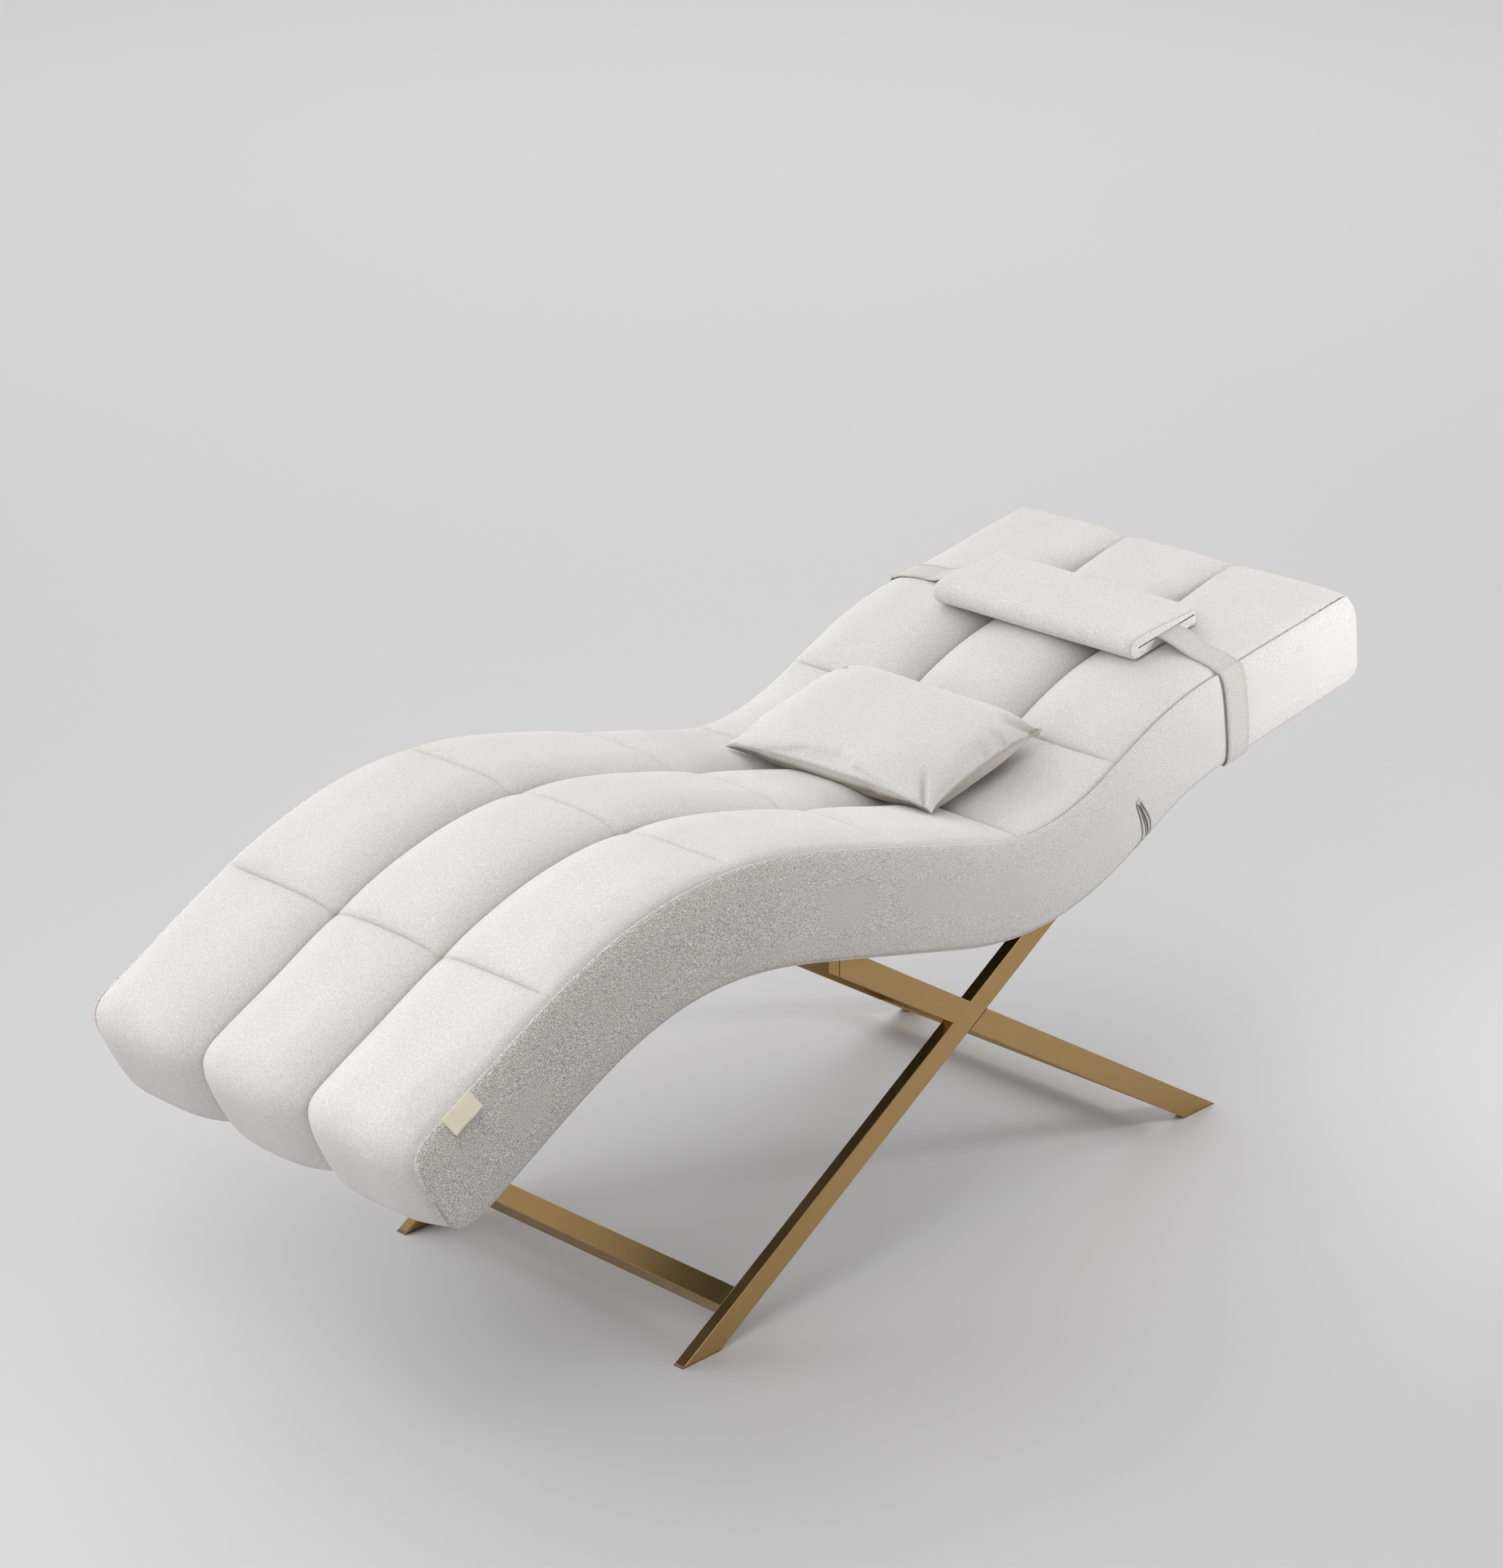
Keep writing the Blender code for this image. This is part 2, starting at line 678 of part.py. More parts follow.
def bracket_plane(index, offset):
    """Point and upward normal of a bracket's underside, moved down by an offset."""
    s = BRACKET_PLACES[index]
    frame = local_frame(s, depth_at(s) - BRACKET_RECESS)
    normal = frame.to_3x3() @ Vector((0, 0, 1))
    point = frame.translation - normal * offset
    return Vector((point.x, point.z)), Vector((normal.x, normal.z))


def tube(name, which, trims, side, finish):
    """A straight rectangular tube, trimmed to length by flat cuts."""
    foot, along = leg_axis(which)
    outer = leg_strip(which, TUBE_DEPTH / 2)
    for point, normal in trims:
        outer = clip(outer, point, normal)
    low = side * FRAME_HALF
    high = side * LEG_INNER
    bm = bmesh.new()
    sweep(bm, [[Vector((p.x, y, p.y)) for p in outer] for y in (low, high)])
    axis = Vector((along.x, 0.0, along.y))
    long_edges = [edge for edge in bm.edges
                  if abs((edge.verts[1].co - edge.verts[0].co).normalized().dot(axis)) > 0.999]
    bmesh.ops.recalc_face_normals(bm, faces=bm.faces)
    bmesh.ops.bevel(bm, geom=long_edges, offset=TUBE_CORNER, offset_type="OFFSET",
                    affect="EDGES", segments=2, profile=0.5, material=-1)
    piece = to_object(bm, name, finish)
    inner = leg_strip(which, TUBE_DEPTH / 2 - TUBE_WALL)
    bore = swept(name + "_bore", [[Vector((p.x, y, p.y)) for p in inner]
                                  for y in (low - side * TUBE_WALL, high + side * TUBE_WALL)],
                 finish)
    cut(piece, bore)
    return piece


def legs(finish):
    down = Vector((0.0, -1.0))
    floor = (Vector((0.0, GLIDE_THICKNESS)), down)
    foot, along = leg_axis("front")
    across = Vector((-along.y, along.x))
    half = TUBE_DEPTH / 2 + FIT
    above = (foot + across * half, -across)
    below = (foot - across * half, across)
    top_cut = leg_seat("rear").x - REAR_LEG_CUT
    upright = (Vector((top_cut + CAP_THICKNESS + FIT, 0.0)), Vector((-1.0, 0.0)))
    for side, word in ((-1, "left"), (1, "right")):
        tube(f"front_leg_{word}", "front", [floor, bracket_plane(1, FIT)], side, finish)
        tube(f"rear_leg_upper_{word}", "rear", [above, bracket_plane(0, FIT), upright],
             side, finish)
        tube(f"rear_leg_lower_{word}", "rear", [floor, below], side, finish)
        end_cap(f"tube_end_cap_{word}", side, top_cut, finish)


def end_cap(name, side, x, finish):
    """Plate that closes the upright cut at the top of a rear leg."""
    strip = leg_strip("rear", TUBE_DEPTH / 2)
    strip = clip(strip, *bracket_plane(0, FIT))
    strip = clip(strip, Vector((x + CAP_THICKNESS, 0.0)), Vector((1.0, 0.0)))
    strip = clip(strip, Vector((x, 0.0)), Vector((-1.0, 0.0)))
    inset = TUBE_CORNER / 2
    rings = [[Vector((p.x, y, p.y)) for p in strip]
             for y in (side * (FRAME_HALF - inset), side * (LEG_INNER + inset))]
    return swept(name, rings, finish)


def stretcher(name, which, finish):
    """Low bar across the bed between two legs, flush with their undersides."""
    foot, along = leg_axis(which)
    facing = 1 if which == "front" else -1
    up = Vector((-along.y, along.x)) * facing
    middle = foot + along * STRETCHER_PLACE
    low = middle - up * TUBE_DEPTH / 2
    corners = (low - along * STRETCHER_LENGTH_SIDE / 2,
               low + along * STRETCHER_LENGTH_SIDE / 2,
               low + along * STRETCHER_LENGTH_SIDE / 2 + up * STRETCHER_CROSS_SIDE,
               low - along * STRETCHER_LENGTH_SIDE / 2 + up * STRETCHER_CROSS_SIDE)
    half = LEG_INNER - FIT
    bm = bmesh.new()
    sweep(bm, [[Vector((p.x, y, p.y)) for p in corners] for y in (-half, half)])
    long_edges = [edge for edge in bm.edges
                  if abs((edge.verts[1].co - edge.verts[0].co).normalized().y) > 0.999]
    bmesh.ops.recalc_face_normals(bm, faces=bm.faces)
    bmesh.ops.bevel(bm, geom=long_edges, offset=TUBE_CORNER, offset_type="OFFSET",
                    affect="EDGES", segments=2, profile=0.5, material=-1)
    return to_object(bm, name, finish)


def glide(name, which, side, finish):
    """Plastic foot: a pad under the slanted tube end with a plug up inside it."""
    foot, along = leg_axis(which)
    lean = along.x / along.y

    def outline(z, half_depth, margin, inset):
        half = half_depth / along.y - margin
        middle = foot.x + z * lean
        low = side * (FRAME_HALF - inset)
        high = side * (LEG_INNER + inset)
        return [Vector((middle - half, low, z)), Vector((middle + half, low, z)),
                Vector((middle + half, high, z)), Vector((middle - half, high, z))]

    seat = GLIDE_THICKNESS - FIT
    core = TUBE_DEPTH / 2 - TUBE_WALL
    rings = [outline(0.0, TUBE_DEPTH / 2, GLIDE_MARGIN, GLIDE_MARGIN),
             outline(seat, TUBE_DEPTH / 2, GLIDE_MARGIN, GLIDE_MARGIN),
             outline(seat, core, FIT * 2, TUBE_WALL + FIT),
             outline(seat + GLIDE_PLUG, core, FIT * 2, TUBE_WALL + FIT)]
    return swept(name, rings, finish)


def frame_parts(finishes):
    legs(finishes["brass"])
    for which in ("front", "rear"):
        stretcher(f"{which}_stretcher", which, finishes["brass"])
        for side, word in ((-1, "left"), (1, "right")):
            glide(f"glide_{which}_{word}", which, side, finishes["glide"])


# Brackets under the cushion

def bolt_places(side):
    """(x, y) of a bracket's two bolts in its own frame."""
    y = side * (FRAME_HALF - BOLT_LINE_INSET)
    return [(-BOLT_SPACING / 2, y), (BOLT_SPACING / 2, y)]


def ring_at(frame, x, y, radius, z):
    """Corners of an upright post's cross-section."""
    turns = [math.tau * (k + 0.5) / BOLT_SIDES for k in range(BOLT_SIDES)]
    return [frame @ Vector((x + radius * math.cos(turn), y + radius * math.sin(turn), z))
            for turn in turns]


def posts(name, frame, side, low, high, finish):
    """Cutter for the clearance holes of one bracket."""
    bm = bmesh.new()
    for x, y in bolt_places(side):
        sweep(bm, [ring_at(frame, x, y, BOLT_HOLE_RADIUS, z) for z in (low, high)])
    return to_object(bm, name, finish)


def bracket_frame(index):
    """Frame on the upper face of a bracket."""
    s = BRACKET_PLACES[index]
    return local_frame(s, depth_at(s) - BRACKET_RECESS - BRACKET_STEEL)


def brackets(finishes):
    """Angle brackets on the leg tops, and the timber blocks they bolt to."""
    for index, which in enumerate(("rear", "front")):
        frame = bracket_frame(index)
        for side, word in ((-1, "left"), (1, "right")):
            one_bracket(f"bracket_{which}_{word}", frame, side, finishes["steel"])
            one_block(f"mount_block_{which}_{word}", frame, side, finishes["timber"])
            for number, (x, y) in enumerate(bolt_places(side), start=1):
                bolt(f"bracket_bolt_{which}_{word}_{number}", frame, x, y, finishes["steel"])


def one_bracket(name, frame, side, finish):
    outer = FRAME_HALF
    inner = FRAME_HALF - BRACKET_WIDTH
    web = LEG_INNER - FIT
    drop = -BRACKET_STEEL
    section = ((outer, 0.0), (inner, 0.0), (inner, drop), (web - BRACKET_STEEL, drop),
               (web - BRACKET_STEEL, drop - BRACKET_FLANGE), (web, drop - BRACKET_FLANGE),
               (web, drop), (outer, drop))
    rings = [[frame @ Vector((x, side * y, z)) for y, z in section]
             for x in (-BRACKET_LENGTH / 2, BRACKET_LENGTH / 2)]
    piece = swept(name, rings, finish)
    cut(piece, posts(name + "_holes", frame, side, drop * 2, BRACKET_STEEL, finish))


def one_block(name, frame, side, finish):
    outer = side * (RIB_INNER - FIT)
    inner = side * (FRAME_HALF - BRACKET_WIDTH - BLOCK_INNER_EDGE)
    rings = block_rings(frame, BLOCK_LENGTH, min(outer, inner), max(outer, inner),
                        FIT, FIT + BLOCK_HEIGHT)
    piece = swept(name, rings, finish)
    cut(piece, posts(name + "_holes", frame, side, -BLOCK_HEIGHT, BOLT_SHANK, finish))


def bolt(name, frame, x, y, finish):
    """Head under the bracket, shank up into the block."""
    under = -BRACKET_STEEL - FIT
    stages = ((under - BOLT_HEAD_HEIGHT, BOLT_HEAD_RADIUS), (under, BOLT_HEAD_RADIUS),
              (under, BOLT_RADIUS), (under + BOLT_SHANK, BOLT_RADIUS))
    return swept(name, [ring_at(frame, x, y, radius, z) for z, radius in stages], finish)


def cloth_windows(finish):
    """Openings in the underside cloth where the blocks meet the brackets."""
    bm = bmesh.new()
    for index in (0, 1):
        frame = bracket_frame(index)
        for side in (-1, 1):
            outer = side * (RIB_INNER - FIT + WINDOW_MARGIN)
            inner = side * (FRAME_HALF - BRACKET_WIDTH - BLOCK_INNER_EDGE - WINDOW_MARGIN)
            length = BLOCK_LENGTH + WINDOW_MARGIN * 2
            sweep(bm, block_rings(frame, length, min(outer, inner), max(outer, inner),
                                  -BRACKET_FLANGE, BLOCK_HEIGHT))
    return to_object(bm, "underside_windows", finish)


# Loose pillow

def pillow_shape(p, q):
    """Swell of a pillow face at shares p across and q along, each from -1 to 1."""
    return ((1 - abs(p) ** PILLOW_ROUND) * (1 - abs(q) ** PILLOW_ROUND)) ** PILLOW_EASE


def pillow_point(p, q, height):
    """World point of the pillow, its sides drawn in between the corners."""
    x = PILLOW_LENGTH / 2 * q * (1 - PILLOW_PINCH * (1 - p * p))
    y = PILLOW_WIDTH / 2 * p * (1 - PILLOW_PINCH * (1 - q * q))
    tilt = math.radians(PILLOW_TILT)
    return Vector((PILLOW_PLACE_X + x * math.cos(tilt) - height * math.sin(tilt),
                   PILLOW_PLACE_Y + y,
                   PILLOW_HEIGHT + x * math.sin(tilt) + height * math.cos(tilt)))


def surface_height(tree, x, y):
    hit = tree.ray_cast(Vector((x, y, PILLOW_HEIGHT + PILLOW_REACH)), Vector((0, 0, -1)))
    return hit[0].z


def pillow_layer(name, upper, lower, margin, finish):
    """A closed skin between two surfaces given over the pillow's grid."""
    count_x = PILLOW_STEPS_X - 2 * margin
    count_y = PILLOW_STEPS_Y - 2 * margin
    shares_x = eased(PILLOW_STEPS_X)[margin:PILLOW_STEPS_X + 1 - margin]
    shares_y = eased(PILLOW_STEPS_Y)[margin:PILLOW_STEPS_Y + 1 - margin]
    bm = bmesh.new()
    column = bm.verts.layers.int.new("column")
    row = bm.verts.layers.int.new("row")
    under = bm.verts.layers.int.new("under")
    bmesh.ops.create_grid(bm, x_segments=count_x, y_segments=count_y, size=0.5)
    for vert in bm.verts:
        vert[column] = round((vert.co.x + 0.5) * count_x)
        vert[row] = round((vert.co.y + 0.5) * count_y)
    for part in bmesh.ops.extrude_face_region(bm, geom=list(bm.faces))["geom"]:
        if isinstance(part, bmesh.types.BMVert):
            part[under] = 1
    for vert in bm.verts:
        q = shares_x[vert[column]] * 2 - 1
        p = shares_y[vert[row]] * 2 - 1
        vert.co = lower(p, q) if vert[under] else upper(p, q)
    return to_object(bm, name, finish, smooth=True)


def edge_samples(mesh):
    """The corners of a mesh and points along its edges."""
    points = [vert.co.copy() for vert in mesh.vertices]
    for edge in mesh.edges:
        a, b = (mesh.vertices[k].co for k in edge.vertices)
        points += [a.lerp(b, share) for share in (0.25, 0.5, 0.75)]
    return points


def least_drop(piece, below):
    """Smallest upright distance from a piece down to the one below it."""
    lower_tree = BVHTree.FromPolygons([v.co for v in below.vertices],
                                      [p.vertices for p in below.polygons])
    upper_tree = BVHTree.FromPolygons([v.co for v in piece.vertices],
                                      [p.vertices for p in piece.polygons])
    up = Vector((0, 0, 1))
    gaps = []
    for point in edge_samples(piece):
        hit = lower_tree.ray_cast(point + up * PILLOW_REACH, -up)
        if hit[0]:
            gaps.append(point.z - hit[0].z)
    for point in edge_samples(below):
        hit = upper_tree.ray_cast(point - up * PILLOW_REACH, up)
        if hit[0]:
            gaps.append(hit[0].z - point.z)
    return min(gaps)


def pillow(cover, finishes):
    """Two sewn panels round a filling, bedded on the tufts under them."""
    tree = BVHTree.FromPolygons([v.co for v in cover.data.vertices],
                                [p.vertices for p in cover.data.polygons])
    half_gap = FIT / 2
    up = Vector((0, 0, 1))

    def top_face(p, q, inset):
        return pillow_point(p, q, half_gap + PILLOW_CLOTH - inset
                            + PILLOW_SWELL * pillow_shape(p, q))

    def bottom_face(p, q):
        point = pillow_point(p, q, -half_gap - PILLOW_CLOTH - PILLOW_SWELL * pillow_shape(p, q))
        level = pillow_point(p, q, -half_gap - PILLOW_CLOTH).z
        bedded = surface_height(tree, point.x, point.y) + SLACK
        point.z = min(max(point.z, bedded), level)
        return point

    top = pillow_layer("pillow_top_panel", lambda p, q: top_face(p, q, 0.0),
                       lambda p, q: top_face(p, q, PILLOW_CLOTH), 0, finishes["pad_fabric"])
    bottom = pillow_layer("pillow_bottom_panel",
                          lambda p, q: bottom_face(p, q) + up * PILLOW_CLOTH,
                          bottom_face, 0, finishes["pad_fabric"])
    filling = pillow_layer("pillow_filling",
                           lambda p, q: top_face(p, q, PILLOW_CLOTH + FIT),
                           lambda p, q: bottom_face(p, q) + up * (PILLOW_CLOTH + FIT),
                           1, finishes["filling"])
    drop = Matrix.Translation(up * (REST - least_drop(bottom.data, cover.data)))
    for piece in (top, bottom, filling):
        piece.data.transform(drop)


# Folded head pad and strap loop, both sliding along the straight head section

PAD_BASE = CROWN + FIT
PAD_GAP = STRAP_THICKNESS + FIT * 2
PAD_TOP = PAD_BASE + PAD_LEAF * 2 + PAD_GAP
PAD_MIDDLE = (PAD_BASE + PAD_TOP) / 2


def head_frame():
    """X along the head section, Y across, Z up, on the seam under the strap."""
    x, z, _ = seam_at(STRAP_PLACE)
    origin = Vector((x + SHIFT_X, 0.0, z + PROFILE_DROP))
    return Matrix.Translation(origin) @ Matrix.Rotation(-math.radians(HEAD_ANGLE), 4, "Y")


def pad_outline(inset):
    """Section of the folded pad: two leaves joined by a rounded fold at the front."""
    low, high = PAD_BASE + inset, PAD_TOP - inset
    radius = (high - low) / 2
    front = -PAD_FRONT + inset + radius
    back = PAD_BACK - inset
    points = []
    for k in range(PAD_ROUND_STEPS + 1):
        turn = -math.pi / 2 - math.pi * k / PAD_ROUND_STEPS
        points.append((front + radius * math.cos(turn), PAD_MIDDLE + radius * math.sin(turn)))
    corner = PAD_CORNER
    points += [(back - corner, high), (back, high - corner)]
    points += [(back, PAD_MIDDLE + PAD_GAP / 2 + corner / 2),
               (back - corner / 2, PAD_MIDDLE + PAD_GAP / 2),
               (-PAD_FRONT + PAD_FOLD, PAD_MIDDLE + PAD_GAP / 2),
               (-PAD_FRONT + PAD_FOLD, PAD_MIDDLE - PAD_GAP / 2),
               (back - corner / 2, PAD_MIDDLE - PAD_GAP / 2),
               (back, PAD_MIDDLE - PAD_GAP / 2 - corner / 2)]
    points += [(back, low + corner), (back - corner, low)]
    return points


def head_pad(frame, finish):
    half = PAD_WIDTH / 2
    corner = PAD_CORNER
    stops = ((-half, corner), (-half + corner * 0.4, corner * 0.35), (-half + corner * 1.4, 0.0),
             (half - corner * 1.4, 0.0), (half - corner * 0.4, corner * 0.35), (half, corner))
    rings = [[frame @ Vector((a, PAD_OFFSET + y, h)) for a, h in pad_outline(inset)]
             for y, inset in stops]
    return swept("head_pad", rings, finish, smooth=True)


def strap_side(side):
    """(y, height) of the strap's inner face from the pad's end to under the bed."""
    pad_end = side * PAD_OFFSET + PAD_WIDTH / 2
    slit = PAD_MIDDLE - STRAP_THICKNESS / 2
    edge_lines = [(y, quilt_height(1.0, rise, edge) + STRAP_LIFT)
                  for y, rise, edge in column_places() if y > pad_end + STRAP_FALL]
    touch, touch_height = edge_lines[0]
    points = []
    for fall in STRAP_EASE_OUT:
        points.append((pad_end + (touch - pad_end) * math.sqrt(fall),
                       slit + (touch_height - slit) * fall))
    points += edge_lines
    half = CUSHION_WIDTH / 2
    points += [(half - STRAP_CORNER, CROWN - EDGE_DROP - STRAP_LIFT),
               (half + STRAP_CORNER, -STRAP_LIFT)]
    depth = depth_at(STRAP_PLACE - STRAP_WIDTH / 2)
    for share, swell in PANEL_RINGS:
        points.append((half + PANEL_BULGE * swell + SLACK, -depth / 2 * (1 - share)))
    for share, swell in reversed(PANEL_RINGS):
        points.append((half + PANEL_BULGE * swell + SLACK, -depth / 2 * (1 + share)))
    points += [(half + STRAP_CORNER, -depth - SLACK / 2),
               (half - STRAP_CORNER, -depth - STRAP_SAG)]
    return points


def strap(frame, finish):
    """Flat webbing loop: through the pad, over the quilt's edges and under the bed."""
    right = [Vector(point) for point in strap_side(1)]
    left = [Vector((-y, h)) for y, h in strap_side(-1)]
    loop = right + list(reversed(left))
    rings = []
    for k, point in enumerate(loop):
        before = loop[k - 1]
        after = loop[(k + 1) % len(loop)]
        along = (after - before).normalized()
        out = Vector((-along.y, along.x))
        edge = point + out * STRAP_THICKNESS
        rings.append([frame @ Vector((a, p.x, p.y))
                      for a, p in ((-STRAP_WIDTH / 2, point), (STRAP_WIDTH / 2, point),
                                   (STRAP_WIDTH / 2, edge), (-STRAP_WIDTH / 2, edge))])
    return swept_loop("head_strap", rings, finish)


def strap_fastener(frame, finish):
    """Hook and loop patch that closes the strap under the bed."""
    depth = depth_at(STRAP_PLACE - STRAP_WIDTH / 2) + STRAP_SAG + STRAP_THICKNESS + FIT
    width = STRAP_WIDTH - FASTENER_MARGIN * 2
    rings = block_rings(frame, width, -FASTENER_LENGTH / 2, FASTENER_LENGTH / 2,
                        -depth - FASTENER_THICKNESS, -depth)
    return swept("strap_fastener", rings, finish)


def main():
    clear_scene()
    finishes = make_materials()
    cover = quilted_cover(finishes["upholstery"])
    side_panel("left_side_panel", -1, finishes["upholstery"])
    side_panel("right_side_panel", 1, finishes["upholstery"])
    foam_core(finishes["foam"])
    carcass(finishes)
    label_tab(finishes["label"])
    frame_parts(finishes)
    brackets(finishes)
    pillow(cover, finishes)
    frame = head_frame()
    head_pad(frame, finishes["pad_fabric"])
    strap(frame, finishes["pad_fabric"])
    strap_fastener(frame, finishes["fastener"])


main()
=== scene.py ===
import math
from bisect import bisect_right
from itertools import accumulate

import bmesh
import bpy
from mathutils import Matrix, Vector, noise
from mathutils.bvhtree import BVHTree


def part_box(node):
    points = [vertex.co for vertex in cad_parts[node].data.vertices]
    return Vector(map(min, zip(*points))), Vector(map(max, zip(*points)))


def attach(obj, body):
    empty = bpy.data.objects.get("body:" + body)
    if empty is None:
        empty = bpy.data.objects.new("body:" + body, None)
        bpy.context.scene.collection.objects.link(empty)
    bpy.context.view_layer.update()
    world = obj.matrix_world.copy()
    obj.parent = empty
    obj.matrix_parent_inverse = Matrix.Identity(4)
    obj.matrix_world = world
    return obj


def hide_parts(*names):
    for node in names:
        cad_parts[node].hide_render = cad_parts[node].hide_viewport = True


bl_info = {
    "name": "Eyelash extension bed",
    "version": (1, 0, 0),
    "blender": (4, 5, 0),
    "location": "3D View > Sidebar > Lash bed",
    "description": "Quilted lash bed on crossed brass legs, with a pillow and a head pad",
    "category": "Object",
}

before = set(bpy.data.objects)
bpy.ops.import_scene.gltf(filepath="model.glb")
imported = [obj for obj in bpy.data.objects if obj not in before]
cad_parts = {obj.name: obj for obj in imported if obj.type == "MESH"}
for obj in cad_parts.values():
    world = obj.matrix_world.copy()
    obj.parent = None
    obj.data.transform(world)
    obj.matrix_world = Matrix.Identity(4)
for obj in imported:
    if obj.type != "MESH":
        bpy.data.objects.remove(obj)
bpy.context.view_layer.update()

# Bed coordinates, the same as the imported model's: s runs along the top seam from the
# foot end, depth goes down from that seam, and y runs across the bed. Metres.
PROFILE_STEP = 0.0025
LEG_REST_ANGLE, LEG_REST_RUN = 29.0, 0.160
KNEE_BEND, SEAT_ANGLE, SEAT_RUN = 0.700, -14.6, 0.215
HIP_BEND, BACK_ANGLE, BACK_RUN = 0.345, 26.4, 0.005
NECK_BEND, HEAD_ANGLE, HEAD_RUN = 0.250, 8.7, 0.275
SEAT_HEIGHT = 0.594
HALF_WIDTH = 0.320
FOOT_DEPTH, HEAD_DEPTH = 0.164, 0.1435
FOOT_NOSE, HEAD_NOSE = 0.0164, 0.0300
PACKED_TIP = (-0.031, 0.065)
# Outlines of the ends as (s past the end of the top seam, depth), read from the photo.
FOOT_END = ((0.048, 0.1637), (0.028, 0.1622), (0.009, 0.1565), (-0.0056, 0.145),
            (-0.0136, 0.1275), (-0.016, 0.101), (-0.0164, 0.075), (-0.015, 0.05),
            (-0.0127, 0.0327), (-0.0093, 0.0204), (-0.0033, 0.0105), (0.006, 0.004),
            (0.015, 0.001), (0.025, 0.0))
HEAD_END = ((-0.005, 0.0), (0.004, 0.0003), (0.0095, 0.0022), (0.0137, 0.007),
            (0.02, 0.02), (0.025, 0.035), (0.0292, 0.06), (0.03, 0.076),
            (0.0286, 0.1), (0.0245, 0.121), (0.02, 0.131), (0.013, 0.1382),
            (0.002, 0.142), (-0.012, 0.1434), (-0.03, 0.1437))
ROW_SEAMS = list(accumulate((0.268, 0.340, 0.329, 0.250, 0.222)))
FILL_HALF = 0.3097
COLUMN_WIDTH = 2 * FILL_HALF / 3
EDGE_REACH = 0.060
# How strongly the mesh lines of the quilt and the bands draw toward the seams.
CLOSER = 0.55
TUFT_REACH = 0.115
END_PADDING = 0.034
FOAM_DEPTH = 0.070
UNDERSIDE_RECESS = 0.0105
STRAP_PLACE = 1.672


def linear(code):
    """Linear colour of an sRGB hex value."""
    parts = [int(code[k:k + 2], 16) / 255 for k in (1, 3, 5)]
    return [p / 12.92 if p <= 0.04045 else ((p + 0.055) / 1.055) ** 2.4 for p in parts]


def length(name, text, default):
    return bpy.props.FloatProperty(name=name, description=text, default=default,
                                   unit="LENGTH", precision=4)


def colour(name, text, code):
    return bpy.props.FloatVectorProperty(name=name, description=text, default=linear(code),
                                         subtype="COLOR", size=3, min=0.0, max=1.0)


class CushionSettings(bpy.types.PropertyGroup):
    fabric: colour("Velour", "Colour of the bed's velour", "#E5E4E3")
    shade: colour("Pile shade", "Colour down between the pile", "#C9C5C0")
    pad_fabric: colour("Pad velour", "Colour of the head pad and strap", "#E8E8E7")
    pillow: colour("Pillow velour", "Colour of the loose pillow", "#E1E1DF")
    tab: colour("Cotton tab", "Colour of the blank tab", "#FBF2DA")
    lining: colour("Lining", "Colour of the cloth underneath", "#26262A")
    crown: length("Crown", "Height of the tufts above the top seam", 0.013)
    channel: length("Channel", "Depth of the sewn channels below the top seam", 0.018)
    edge_drop: length("Edge drop", "How much lower the tufts are at the sides", 0.009)
    bulge: length("Side bulge", "How far the side bands swell", 0.008)


class LegSettings(bpy.types.PropertyGroup):
    brass: colour("Brass", "Colour of the brushed brass", "#B39462")
    roughness: bpy.props.FloatProperty(name="Brushing", description="Roughness of the brass",
                                       default=0.30, min=0.0, max=1.0, subtype="FACTOR")
    timber: colour("Timber", "Colour of the blocks and rails", "#C79F6E")


class StageSettings(bpy.types.PropertyGroup):
    floor: colour("Floor", "Colour of the floor", "#CAC9CA")
    level: bpy.props.FloatProperty(name="Light level", description="Strength of all lamps",
                                   default=1.0, min=0.0, soft_max=2.0)


# Side profile

def smooth_share(share):
    share = min(max(share, 0.0), 1.0)
    return share * share * (3 - 2 * share)


def build_profile():
    """(s, x, z, heading) along the top seam, from the foot end."""
    table = []
    s = x = z = 0.0
    current = LEG_REST_ANGLE
    stretches = ((0.0, LEG_REST_ANGLE, LEG_REST_RUN), (KNEE_BEND, SEAT_ANGLE, SEAT_RUN),
                 (HIP_BEND, BACK_ANGLE, BACK_RUN), (NECK_BEND, HEAD_ANGLE, HEAD_RUN))
    for bend, angle, run in stretches:
        count = round(bend / PROFILE_STEP)
        steps = [(bend / count, current + (angle - current) * smooth_share((k + 0.5) / count))
                 for k in range(count)]
        current = angle
        count = max(1, round(run / PROFILE_STEP))
        for step, turned in steps + [(run / count, angle)] * count:
            heading = math.radians(turned)
            table.append((s, x, z, heading))
            s += step
            x += step * math.cos(heading)
            z += step * math.sin(heading)
    return table + [(s, x, z, math.radians(HEAD_ANGLE))]


PROFILE = build_profile()
PROFILE_S = [row[0] for row in PROFILE]
LENGTH = PROFILE_S[-1]
PROFILE_DROP = SEAT_HEIGHT - min(z for s, x, z, h in PROFILE if s > LEG_REST_RUN + KNEE_BEND)


def seam_at(s):
    """x, z and heading of the top seam at s, straight on past its ends."""
    if s <= 0 or s >= LENGTH:
        s0, x, z, heading = PROFILE[0] if s <= 0 else PROFILE[-1]
        ahead = s - s0
        return x + ahead * math.cos(heading), z + ahead * math.sin(heading), heading
    low = bisect_right(PROFILE_S, s) - 1
    s0, x0, z0, h0 = PROFILE[low]
    s1, x1, z1, h1 = PROFILE[low + 1]
    share = (s - s0) / (s1 - s0)
    return x0 + (x1 - x0) * share, z0 + (z1 - z0) * share, h0 + (h1 - h0) * share


def flat_place(s, depth):
    x, z, heading = seam_at(s)
    return x + math.sin(heading) * depth, z - math.cos(heading) * depth


